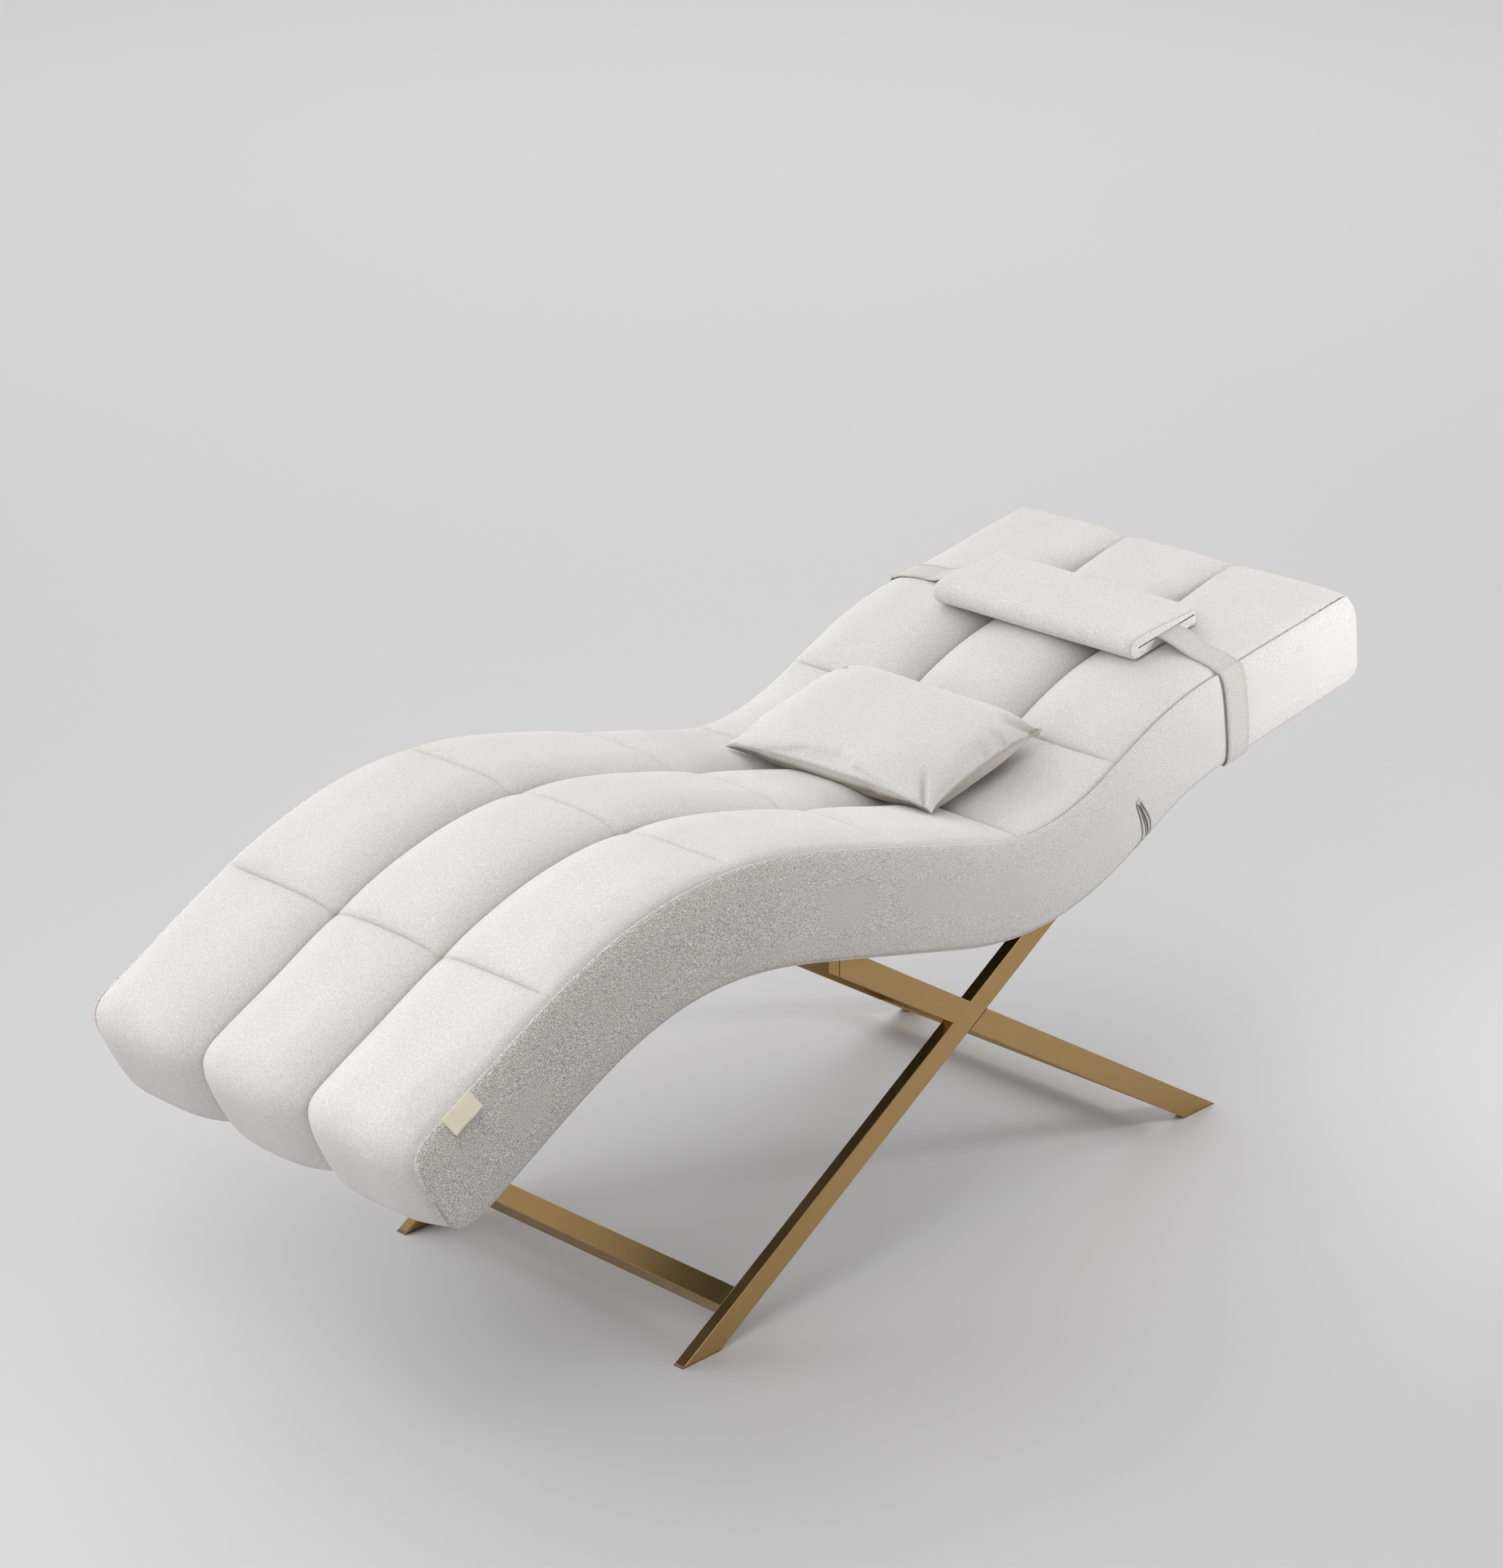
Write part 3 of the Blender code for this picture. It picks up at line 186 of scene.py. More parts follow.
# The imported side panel's foremost point fixes where the bed lies along X.
SHIFT_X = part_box("left_side_panel")[0].x - flat_place(*PACKED_TIP)[0]


def place(s, depth, y):
    x, z = flat_place(s, depth)
    return Vector((x + SHIFT_X, y, z + PROFILE_DROP))


def depth_at(s):
    share = min(max(s / LENGTH, 0.0), 1.0)
    return FOOT_DEPTH + (HEAD_DEPTH - FOOT_DEPTH) * share


def smooth_line(points, step):
    """Evenly spaced points along a smooth line through the given ones."""
    ends = [Vector(p) for p in (points[0], *points, points[-1])]
    dense = []
    for a, b, c, d in zip(ends, ends[1:], ends[2:], ends[3:]):
        for k in range(16):
            u = k / 16
            bend = (2 * a - 5 * b + 4 * c - d) * u * u + (3 * b - a - 3 * c + d) * u ** 3
            dense.append((2 * b + (c - a) * u + bend) / 2)
    dense.append(ends[-1])
    runs = [0.0, *accumulate(math.dist(a, b) for a, b in zip(dense, dense[1:]))]
    count = round(runs[-1] / step)
    line = []
    for k in range(count):
        low = bisect_right(runs, runs[-1] * k / count) - 1
        share = (runs[-1] * k / count - runs[low]) / (runs[low + 1] - runs[low])
        line.append(tuple(dense[low].lerp(dense[low + 1], share)))
    return line + [tuple(dense[-1])]


def divided(bounds, step, closer=0.0):
    """Places between the bounds, about a step apart; closer draws them to the bounds."""
    places = [bounds[0]]
    for low, high in zip(bounds, bounds[1:]):
        count = max(2 if closer else 1, round((high - low) / step))
        for k in range(1, count + 1):
            share = k / count
            share += closer * ((1 - math.cos(math.pi * share)) / 2 - share)
            places.append(low + (high - low) * share)
    return places


def near_line(spot, start, end):
    """Share along a line of the place nearest to a spot, and the distance to it."""
    a, b = Vector(start), Vector(end)
    share = min(max((spot - a).dot(b - a) / (b - a).length_squared, 0.0), 1.0)
    return share, (spot - a - (b - a) * share).length


TOP_BOUNDS = [FOOT_END[-1][0], *ROW_SEAMS, LENGTH + HEAD_END[0][0]]
FOOT_LINE = smooth_line(FOOT_END, 0.0042)
HEAD_LINE = [(LENGTH + s, depth) for s, depth in smooth_line(HEAD_END, 0.0042)]


def uneven(a, b, scale, seed):
    """Soft unevenness from -1 to 1 of hand-worked cloth at a place."""
    return noise.noise(Vector((a * scale, b * scale, seed)))


def tuft(distance, reach, shoulder=4.0, ease=0.55):
    """Share of a tuft's full height at a distance from its nearest seam."""
    share = min(distance / reach, 1.0)
    return (1 - (1 - share) ** shoulder) ** ease


def column_rise(y):
    """Share of a tuft's full height across the bed; these slopes are the softer ones."""
    return tuft(channel_distance(y), COLUMN_WIDTH / 2, 3.0, 0.64)


# How far in the cloth rolls over at each side, and how low on the left and the right.
ROLL_REACH = 0.010
ROLL_LEFT, ROLL_RIGHT = 0.0062, 0.0030


def quilt_height(cushion, row_rise, y):
    """Height of the quilt above the top seam."""
    edge = edge_share(y)
    filled = row_rise + (1 - row_rise) * 0.8 * edge * edge
    rise = (cushion.crown + cushion.channel) * filled * column_rise(y)
    fall = max(0.0, 1 - (TOP_HALF - abs(y)) / ROLL_REACH) ** 1.7
    fall *= ROLL_LEFT if y < 0 else ROLL_RIGHT
    return rise - cushion.channel - cushion.edge_drop * edge * edge - fall


def edge_share(y):
    return max(0.0, 1 - (FILL_HALF - abs(y)) / EDGE_REACH)


def channel_distance(y):
    return min(abs(abs(y) - COLUMN_WIDTH / 2), COLUMN_WIDTH / 2)


# Mesh helpers

# What the velour reads from a piece: painted shade in seams, folds and under parts, thread, and
# length of seam.
SEAM_MARKS = ("painted_shade", "stitch", "run")


def grid(count_u, count_v, marks=()):
    """A flat grid whose corners know their column and row, with layers for marks."""
    bm = bmesh.new()
    column = bm.verts.layers.int.new("column")
    row = bm.verts.layers.int.new("row")
    for name in marks:
        bm.verts.layers.float.new(name)
    bmesh.ops.create_grid(bm, x_segments=count_u, y_segments=count_v, size=0.5)
    for vert in bm.verts:
        vert[column] = round((vert.co.x + 0.5) * count_u)
        vert[row] = round((vert.co.y + 0.5) * count_v)
    return bm, column, row, *(bm.verts.layers.float[name] for name in marks)


def linked(name, data):
    """A new object in the scene."""
    made = bpy.data.objects.new(name, data)
    bpy.context.scene.collection.objects.link(made)
    return made


def close_ends(bm):
    """Weld the grid's meeting edges and fill the openings that are left."""
    bmesh.ops.remove_doubles(bm, verts=bm.verts, dist=1e-6)
    rims = [edge for edge in bm.edges if edge.is_boundary]
    bmesh.ops.holes_fill(bm, edges=rims, sides=0)


def finished(bm, name, finish, body, sharp=50):
    """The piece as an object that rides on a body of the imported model."""
    bmesh.ops.recalc_face_normals(bm, faces=bm.faces)
    mesh = bpy.data.meshes.new(name)
    bm.to_mesh(mesh)
    bm.free()
    mesh.materials.append(finish)
    mesh.shade_smooth()
    mesh.set_sharp_from_angle(angle=math.radians(sharp))
    piece = linked(name, mesh)
    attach(piece, body)
    return piece


def thicken(piece, amount, side):
    """Give a sheet its thickness: on its outer side with 1, on both with 0."""
    thick = piece.modifiers.new("thickness", "SOLIDIFY")
    thick.thickness, thick.offset = amount, side


# Materials

def add(tree, kind, *values, **named):
    """The outputs of a new shader node. Plain values go to its sockets in order. A name
    with a capital is a socket, and one in small letters is a setting of the node."""
    made = tree.nodes.new("ShaderNode" + kind)
    places = range(len(values))
    if kind == "Mix":
        # A colour mix takes its share at socket 0 and its two colours at 6 and 7.
        made.data_type, places = "RGBA", (0, 6, 7)
    sockets = dict(zip(places, values))
    for name, value in named.items():
        if name.islower():
            setattr(made, name, value)
        else:
            sockets[name.replace("_", " ")] = value
    for name, value in sockets.items():
        socket = made.inputs[name]
        if isinstance(value, bpy.types.NodeSocket):
            tree.links.new(value, socket)
        else:
            socket.default_value = value
    return made.outputs


def new_finish(name, roughness, metallic=0.0):
    """A material, its tree, its shader's inputs and the place on the object."""
    finish = bpy.data.materials.new(name)
    finish.use_nodes = True
    tree = finish.node_tree
    inputs = tree.nodes["Principled BSDF"].inputs
    inputs["Roughness"].default_value = roughness
    inputs["Metallic"].default_value = metallic
    return finish, tree, inputs, add(tree, "TexCoord")["Object"]


def rgba(colour, level=1.0):
    """A colour for a socket, from a setting or a hex value, brighter or darker by level."""
    parts = linear(colour) if isinstance(colour, str) else colour
    return (*(min(part * level, 1.0) for part in parts), 1.0)


def surface(tree, inputs, share, dark, light, height=None, strength=0.3, depth=0.0003):
    """Colour a shader from dark to light by a share, and raise it by a height."""
    tone = add(tree, "Mix", share, dark, light)
    tree.links.new(tone[2], inputs["Base Color"])
    if height is not None:
        bump = add(tree, "Bump", Height=height, Strength=strength, Distance=depth)
        tree.links.new(bump[0], inputs["Normal"])


def velour(name, fabric, shade, brushed=False):
    """Short-pile velour: a fine speckled grain, a soft sheen on turned edges, and warm
    grey painted shade in seams, folds and under parts. With brushed set, a painted speckle
    of light and shade is strong at the foot end, where light grazes, and gone at the head end."""
    finish, tree, inputs, spot = new_finish(name, 0.92)
    inputs["Sheen Weight"].default_value = 0.25
    inputs["Sheen Roughness"].default_value = 0.45
    inputs["Specular IOR Level"].default_value = 0.25
    # Pile tufts are under 1 mm; they are drawn 2 mm wide so that they show.
    pile = add(tree, "TexNoise", spot, Scale=430.0, Detail=2.0, Roughness=0.7)
    fine = add(tree, "TexNoise", spot, Scale=1500.0, Detail=1.0)
    both = add(tree, "Math", pile[0], fine[0], operation="ADD")
    grain = add(tree, "MapRange", both[0], From_Min=0.80, From_Max=1.20)[0]
    tone = add(tree, "Mix", grain, rgba(shade), rgba(fabric))
    if brushed:
        # Share of painted grazing-light speckle along the bed: full at the foot end, none at the
        # head end.
        along = add(tree, "SeparateXYZ", spot)["X"]
        rough = add(tree, "MapRange", along, From_Min=-0.5, From_Max=0.7, To_Min=1.0, To_Max=0.0)
        # Painted speckle of light and shade, 1.2 mm apart, strong at the foot end where the
        # light grazes.
        grazing_noise = add(tree, "TexNoise", spot, Scale=850.0, Detail=1.0)
        salt = add(tree, "MapRange", grazing_noise[0], From_Min=0.40, From_Max=0.60)
        speckle = add(tree, "Mix", salt[0], rgba(shade, 0.60), rgba(shade, 1.62))
        tone = add(tree, "Mix", rough[0], tone[2], speckle[2])
    cloud = add(tree, "TexNoise", spot, Scale=9.0, Detail=3.0)
    worn = add(tree, "MapRange", cloud[0], From_Min=0.3, From_Max=0.7, To_Min=0.97, To_Max=1.01)
    shaded = add(tree, "Mix", 1.0, tone[2], worn[0], blend_type="MULTIPLY")
    painted_shade, stitch, run = [add(tree, "Attribute", attribute_name=mark)["Fac"]
                           for mark in SEAM_MARKS]
    # Painted shade: warm grey-brown mixed in by the painted shade mark.
    shade_painted = add(tree, "Mix", painted_shade, shaded[2], rgba("#8E8378"))
    # Stitches 3.5 mm long; the thread sinks out of sight along most of the seam.
    along_seam = add(tree, "CombineXYZ", run)
    broken = add(tree, "TexNoise", along_seam[0], Scale=110.0, Detail=3.0)
    shows = add(tree, "MapRange", broken[0], From_Min=0.50, From_Max=0.62)
    thread = add(tree, "Math", stitch, shows[0], operation="MULTIPLY")
    surface(tree, inputs, thread[0], shade_painted[2], rgba("#3A3028"), grain, 0.5, 0.0006)
    return finish


def twill_cotton(name, fabric):
    """Blank cotton tape: a fine cream twill with matt threads."""
    finish, tree, inputs, spot = new_finish(name, 0.85)
    # Threads 0.8 mm apart, running up the tab at a slant.
    turned = add(tree, "Mapping", spot, Rotation=(0.0, 0.9, 0.0))
    twill = add(tree, "TexWave", turned[0], Scale=390.0, Distortion=1.2, Detail=2.0,
                wave_type="BANDS", bands_direction="X")[1]
    fluff = add(tree, "TexNoise", spot, Scale=260.0, Detail=3.0)
    blend = add(tree, "Math", twill, fluff[0], operation="MULTIPLY")
    surface(tree, inputs, blend[0], rgba(fabric, 0.80), rgba(fabric), twill, 0.4)
    return finish


def spunbond_lining(name, cloth):
    """Black spunbond dust cloth: matt, with pressed dimples."""
    finish, tree, inputs, spot = new_finish(name, 0.80)
    # Pressed points 2.5 mm apart.
    dots = add(tree, "TexVoronoi", spot, Scale=400.0, Randomness=0.2, feature="F1")
    felt = add(tree, "TexNoise", spot, Scale=120.0, Detail=4.0)
    share = add(tree, "MapRange", felt[0], From_Min=0.3, From_Max=0.7)
    surface(tree, inputs, share[0], rgba(cloth, 0.75), rgba(cloth, 1.25), dots[0], 0.5, 0.0005)
    return finish


def brushed_brass(name, brass, roughness, turn):
    """Satin brushed brass: warm metal with fine lines along each tube."""
    finish, tree, inputs, spot = new_finish(name, roughness, 1.0)
    # Brush lines 0.6 mm apart and 60 mm long, drawn along the tube.
    turned = add(tree, "Mapping", spot, Rotation=turn, Scale=(1.0, 0.010, 0.010),
                 vector_type="TEXTURE")
    lines = add(tree, "TexNoise", turned[0], Scale=16.0, Detail=3.0, Roughness=0.6)[0]
    patch = add(tree, "TexNoise", spot, Scale=7.0, Detail=2.0)
    rough = add(tree, "MapRange", patch[0], From_Min=0.3, From_Max=0.7, To_Min=roughness - 0.04,
                To_Max=roughness + 0.05)
    tree.links.new(rough[0], inputs["Roughness"])
    surface(tree, inputs, lines, rgba(brass, 0.84), rgba(brass, 1.12), lines, 0.15, 0.0002)
    return finish


def galvanised_steel(name):
    """Zinc-plated steel: cool grey with soft cloudy patches."""
    finish, tree, inputs, spot = new_finish(name, 0.40, 1.0)
    # Zinc patches about 8 mm across.
    flake = add(tree, "TexVoronoi", spot, Scale=120.0, feature="F1")[0]
    rough = add(tree, "MapRange", flake, To_Min=0.32, To_Max=0.50)
    tree.links.new(rough[0], inputs["Roughness"])
    surface(tree, inputs, flake, rgba("#8E9296"), rgba("#B9BCBF"))
    return finish


def sawn_wood(name, timber, along):
    """Sawn pine or birch ply: pale brown with long grain lines."""
    finish, tree, inputs, spot = new_finish(name, 0.65)
    # Growth rings 3 mm apart, stretched along the grain.
    pulled = add(tree, "Mapping", spot, Scale=along)
    rings = add(tree, "TexNoise", pulled[0], Scale=330.0, Detail=4.0, Distortion=0.4)[0]
    surface(tree, inputs, rings, rgba(timber, 0.55), rgba(timber), rings)
    return finish


def moulded_nylon(name):
    """Moulded bronze nylon: brown and slightly grained, with a dull shine."""
    finish, tree, inputs, spot = new_finish(name, 0.48)
    # Mould grain 0.8 mm.
    grain = add(tree, "TexNoise", spot, Scale=1200.0, Detail=2.0)[0]
    surface(tree, inputs, grain, rgba("#6B5230"), rgba("#8A6D42"), grain, 0.3, 0.0002)
    return finish


def hook_tape(name):
    """Hook and loop tape: off-white nylon loops over a woven back."""
    finish, tree, inputs, spot = new_finish(name, 0.90)
    # Loops 1.2 mm apart.
    loops = add(tree, "TexVoronoi", spot, Scale=800.0, feature="F1")[0]
    surface(tree, inputs, loops, rgba("#E4E2DE"), rgba("#A5A29C"), loops, 0.8, 0.0006)
    return finish


def painted_floor(name, floor):
    """Seamless studio floor: pale grey paint with a faint gloss."""
    finish, tree, inputs, spot = new_finish(name, 0.42)
    inputs["Specular IOR Level"].default_value = 0.30
    cloud = add(tree, "TexNoise", spot, Scale=0.7, Detail=2.0)
    surface(tree, inputs, cloud[0], rgba(floor, 0.985), rgba(floor))
    return finish


def dress(starts, finish, ends=""):
    """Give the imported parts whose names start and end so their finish."""
    for name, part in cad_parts.items():
        if name.startswith(starts) and name.endswith(ends):
            part.data.materials.clear()
            part.data.materials.append(finish)


# Quilted top

TOP_HALF = 0.3164
# Share of a tuft's height that is left in the cross seams.
SEAM_FULLNESS = 0.58
FOOT_SWELL = 0.006
HEAD_FLATTENING = 0.82
HEM_REACH, HEM_TURN, HEM_DROP = 0.080, 0.010, -0.0095
TUCK_DROP = -0.0070
# Height of the flat cloth near the hems.
FOOT_LEVEL, HEAD_LEVEL = -0.001, 0.002


def cover_path():
    """(s, depth) of the quilt's path: up the foot end, along the top, down the head."""
    foot = [(s, depth) for s, depth in FOOT_LINE[:-1] if s < 0.016 or depth < 0.1]
    head = [(s, depth) for s, depth in HEAD_LINE[1:] if s > LENGTH - 0.008 or depth < 0.1]
    stations = divided(TOP_BOUNDS, 0.0052, CLOSER)
    return foot + [(s, 0.0) for s in stations] + head


def under_path():
    """(s, depth) of the padding's inner side, from the head end back to the foot end."""
    head, foot = LENGTH - END_PADDING - 0.0002, END_PADDING - 0.0002
    inner = FOAM_DEPTH - 0.0003
    down, up = (depth_at(end) - 0.012 - inner for end in (head, foot))
    path = [(head, inner + down * (1 - k / 4)) for k in range(4)]
    path += [(head + (foot - head) * k / 60, inner) for k in range(61)]
    return path + [(foot, inner + up * k / 4) for k in range(1, 5)]


def quilt_lines():
    """y of the quilt's lines across the bed; the first and the last are tucked in."""
    across = divided([-TOP_HALF, -COLUMN_WIDTH / 2, COLUMN_WIDTH / 2, TOP_HALF], 0.0062, CLOSER)
    inner = [y for y in across if abs(y) < TOP_HALF - 0.0075]
    rims = [TOP_HALF - reach for reach in (0.0, 0.0009, 0.0025, 0.0050)]
    return [-FILL_HALF, *(-y for y in rims), *inner, *reversed(rims), FILL_HALF]


def quilted_top(cushion, finish):
    """The quilt as one closed padded sheet, wrapped down over both ends."""
    path, under, lines = cover_path(), under_path(), quilt_lines()
    runs = [0.0, *accumulate(math.dist(a, b) for a, b in zip(path, path[1:]))]
    seams = [min(zip(path, runs), key=lambda pair: abs(pair[0][0] - s) + pair[0][1])[1]
             for s in ROW_SEAMS]
    normals = []
    for before, after in zip(path[:1] + path, path[1:] + path[-1:]):
        along = Vector((after[0] - before[0], after[1] - before[1])).normalized()
        normals.append((along.y, -along.x))
    total = len(path) + len(under)
    bm, column, row, painted_shade, stitch, ahead = grid(total, len(lines) - 1, SEAM_MARKS)
    for vert in bm.verts:
        k = vert[column] % total
        y = lines[vert[row]]
        if k >= len(path):
            s, depth = under[k - len(path)]
            vert.co = place(s, depth, max(-FILL_HALF, min(FILL_HALF, y)))
            continue
        s, depth = path[k]
        seam = min(abs(runs[k] - seam) for seam in seams)
        hem = min(runs[k], runs[-1] - runs[k])
        channel = channel_distance(y)
        # The cross seams are sewn in less deep than the long channels.
        row_rise = SEAM_FULLNESS + (1 - SEAM_FULLNESS) * tuft(seam, TUFT_REACH)
        height = quilt_height(cushion, row_rise, y)
        # The tufts are fullest over the foot end, flatter at the head end, and flat
        # along both hems.
        edge = edge_share(y)
        fuller = smooth_share((0.16 - s) / 0.12) * column_rise(y) * (1 - edge * edge)
        height += FOOT_SWELL * fuller
        flat = 1 - HEAD_FLATTENING * smooth_share((s - LENGTH + 0.20) / 0.19)
        flat *= smooth_share((hem + 0.008) / HEM_REACH)
        level = HEAD_LEVEL if k > len(path) / 2 else FOOT_LEVEL
        height = level + (height - level) * flat
        height += 0.0009 * uneven(runs[k], y, 11, 2.7)
        # The cloth turns down into the seam at both hems.
        if hem < HEM_TURN:
            share = 1 - hem / HEM_TURN
            height += (HEM_DROP - height) * share * share
        if abs(y) == FILL_HALF:
            height = min(height, TUCK_DROP)
        out_s, out_d = normals[k]
        vert.co = place(s + out_s * height, depth + out_d * height, y)
        # Painted shade along the seams, in a narrow line and a wide soft one, darkest at the
        # crossings.
        near = min(seam, channel)
        deep = (0.18 if seam < channel else 0.38) * flat
        vert[painted_shade] = deep * math.exp(-near / 0.0022) + 0.08 * math.exp(-near / 0.016)
        vert[painted_shade] += 0.35 * math.exp(-(seam * seam + channel * channel) / 0.00006)
        # A line of thread and a line of painted shade show along the near edge.
        thread = 1 - (TOP_HALF + y) / 0.0018
        if thread > 0 and depth == 0.0:
            vert[painted_shade], vert[stitch] = 0.55 * thread, thread
        vert[ahead] = runs[k]
    close_ends(bm)
    piece = finished(bm, "quilted_top", finish, "bed")
    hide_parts("quilted_cover", "foam_core")
    return piece


# Side bands

# Gathered folds near the lower edge of the left band, as (s, depth) lines.
PLEATS = (
    ((1.4176, 0.0758), (1.4107, 0.0757), (1.4091, 0.0812), (1.4083, 0.1011), (1.4069, 0.118),
     (1.404, 0.135), (1.3995, 0.1432), (1.3867, 0.144)),
    ((1.4134, 0.0806), (1.4134, 0.1036), (1.4135, 0.122), (1.4118, 0.1389), (1.4088, 0.1464),
     (1.4003, 0.148)),
    ((1.4151, 0.085), (1.417, 0.1022), (1.4183, 0.1184), (1.4173, 0.136), (1.4135, 0.1498)),
    ((1.4179, 0.0801), (1.4223, 0.1012), (1.4251, 0.1211), (1.4239, 0.1338), (1.4212, 0.1465)),
)
PLEAT_WIDTHS = (0.0011, 0.0010, 0.0016, 0.0010)


def pleat_share(s, depth):
    """How deep a point lies in the nearest fold, from 0 to 1."""
    if not (1.375 < s < 1.435 and depth > 0.068):
        return 0.0
    spot = Vector((s, depth))
    best = 0.0
    for line, width in zip(PLEATS, PLEAT_WIDTHS):
        for start, end in zip(line, line[1:]):
            far = near_line(spot, start, end)[1]
            best = max(best, math.exp(-(far / width) ** 2))
    return best


def band_outline(left):
    """Closed (s, depth) outline of a side band."""
    stations = divided(TOP_BOUNDS, 0.0065, CLOSER)
    if left:
        # Closer together across the gathered folds.
        stations = sorted([s for s in stations if not 1.380 < s < 1.431]
                          + [1.380 + 0.0009 * k for k in range(57)])
    inside = [s for s in stations if FOOT_LINE[0][0] + 0.002 < s < HEAD_LINE[-1][0] - 0.002]
    bottom = [(s, depth_at(s)) for s in reversed(inside)]
    return FOOT_LINE[:-1] + [(s, 0.0) for s in stations] + HEAD_LINE[1:] + bottom


def swell(share):
    """Bulge of a side band at a share of the way in from its edge."""
    return (1 - (1 - share) ** 3.6) ** 0.8


# (inset from the outline, place across from the middle of the bed) of the band's rim
RIM = ((0.005, 0.3102), (0.0046, 0.316), (0.0034, 0.3168), (0.0009, 0.317),
       (0.0001, 0.3175), (0.0, 0.3184), (0.0004, 0.3194), (0.0018, 0.3202))
BAND_RINGS = 22
HEM_SEAM = 0.0042
PLEAT_DEPTH = 0.0036


def side_band(name, side, cushion, finish):
    """A swelling side band: rings from its rim in to its middle line."""
    outline = band_outline(side < 0)
    count, last = len(outline), len(RIM) + BAND_RINGS - 1
    bm, column, row, painted_shade, stitch, ahead = grid(count, last, SEAM_MARKS)
    for vert in bm.verts:
        s, d = outline[vert[column] % count]
        k = vert[row]
        half_depth = depth_at(s) / 2
        lower = d > half_depth
        if k < len(RIM):
            inset, across = RIM[k]
            if side > 0 and d == 0.0:
                inset += 0.0022
        else:
            share = (k - len(RIM) + 1) / BAND_RINGS
            inset = 0.0018 + (half_depth - 0.0018) * share ** 1.25
            across = HALF_WIDTH + cushion.bulge * swell(inset / half_depth)
            if lower:
                # Seam of the lower hem.
                across -= 0.0012 * math.exp(-((inset - HEM_SEAM) / 0.0012) ** 2)
        along = min(max(s, -FOOT_NOSE + inset), LENGTH + HEAD_NOSE - inset)
        middle = depth_at(along) / 2
        share = 0.0 if k == last else max(0.0, 1 - inset / middle)
        depth = middle + (d - middle) * share
        fold = pleat_share(along, depth) if side < 0 and k >= 5 else 0.0
        across -= PLEAT_DEPTH * fold
        across += 0.0006 * uneven(along, depth, 9, side * 5.1) * min(1.0, inset / 0.02)
        vert.co = place(along, depth, side * across)
        # Painted shade in the gathered folds.
        vert[painted_shade] = 1.6 * fold
        # Painted shade along the lower hem's seam.
        if lower and k >= len(RIM):
            shade_painted = 0.7 * math.exp(-((inset - HEM_SEAM) / 0.0011) ** 2)
            vert[painted_shade] = max(vert[painted_shade], shade_painted)
        if d == 0.0 and k == 3:
            vert[stitch] = 1.0
        vert[ahead] = s + 0.37
    close_ends(bm)
    bmesh.ops.remove_doubles(bm, verts=bm.verts, dist=1e-5)
    piece = finished(bm, name, finish, "bed")
    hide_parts("left_side_panel" if side < 0 else "right_side_panel")
    return piece


# Tab and underside

def blank_tab(cushion, finish):
    """Folded cotton tab caught in the left seam; it carries no lettering."""
    middle, half, caught = 0.078, 0.0265, HALF_WIDTH + 0.0004
    top, drop = -0.0028, 0.0240
    columns, rows = 26, 12
    bm, column, row = grid(columns, rows)
    for vert in bm.verts:
        along = vert[column] / columns * 2 - 1
        down = vert[row] / rows
        depth = top + drop * down
        swelling = cushion.bulge * swell(max(depth, 0.0) / (depth_at(middle) / 2))
        out = swelling + 0.0012 * min(down * 8, 1.0) + 0.0075 * down ** 1.6
        out += 0.0006 * down * math.sin(along * 4.2)
        vert.co = place(middle + along * half * (1 - 0.01 * down), depth, -caught - out)
    piece = finished(bm, "blank_tab", finish, "bed")
    thicken(piece, 0.0011, 1.0)
    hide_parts("label_tab")
    return piece


# (start s, end s, inner y, outer y) of the openings round the leg brackets
WINDOWS = [(middle - 0.0555, middle + 0.0555, 0.1939, 0.2933) for middle in (0.900, 1.275)]


def underside_lining(finish):
    """Dust cloth stretched under the frame, with openings round the leg brackets."""
    start, end = END_PADDING + 0.0003, LENGTH - END_PADDING - 0.0003
    edges = [edge for window in WINDOWS for edge in window[:2]]
    stations = divided([start, *edges, end], 0.014)
    inner, outer = WINDOWS[0][2:]
    lines = divided([-FILL_HALF, -outer, -inner, inner, outer, FILL_HALF], 0.016)
    bm, column, row = grid(len(stations) - 1, len(lines) - 1)
    for vert in bm.verts:
        s, y = stations[vert[column]], lines[vert[row]]
        hang = 0.0004 * (1 + uneven(s, y, 13, 8.2))
        vert.co = place(s, depth_at(s) - UNDERSIDE_RECESS - 0.0014 + hang, y)
    gone = []
    for face in bm.faces:
        s = sum(stations[vert[column]] for vert in face.verts) / 4
        y = abs(sum(lines[vert[row]] for vert in face.verts) / 4)
        if any(a < s < b and low < y < high for a, b, low, high in WINDOWS):
            gone.append(face)
    bmesh.ops.delete(bm, geom=gone, context="FACES")
    piece = finished(bm, "underside_lining", finish, "bed")
    thicken(piece, 0.0006, 0.0)
    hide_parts("underside_cloth")
    return piece


# Pillow

# Where the corners lie: foot end left, foot end right, head end left, head end right.
PILLOW_CORNERS = ((0.093, -0.2235, 0.6225), (0.08, 0.17, 0.6235),
                  (0.349, -0.208, 0.681), (0.352, 0.182, 0.682))
PILLOW_TILT = math.radians(12.9)
PILLOW_HALF = (0.133, 0.195)
PILLOW_RISE = 0.042
# Folds of the upper panel as (start, end, width, depth), from the pillow's middle.
PILLOW_FOLDS = (
    ((-0.13, -0.19), (-0.076, -0.15), 0.0045, 0.0065),
    ((0.124, -0.182), (0.084, -0.15), 0.011, 0.014),
    ((0.068, -0.188), (0.046, -0.156), 0.005, 0.0065),
    ((0.03, -0.19), (0.016, -0.16), 0.0055, 0.0048),
    ((-0.118, 0.176), (-0.092, 0.15), 0.01, 0.0034),
    ((0.118, 0.18), (0.088, 0.148), 0.01, 0.006),
)


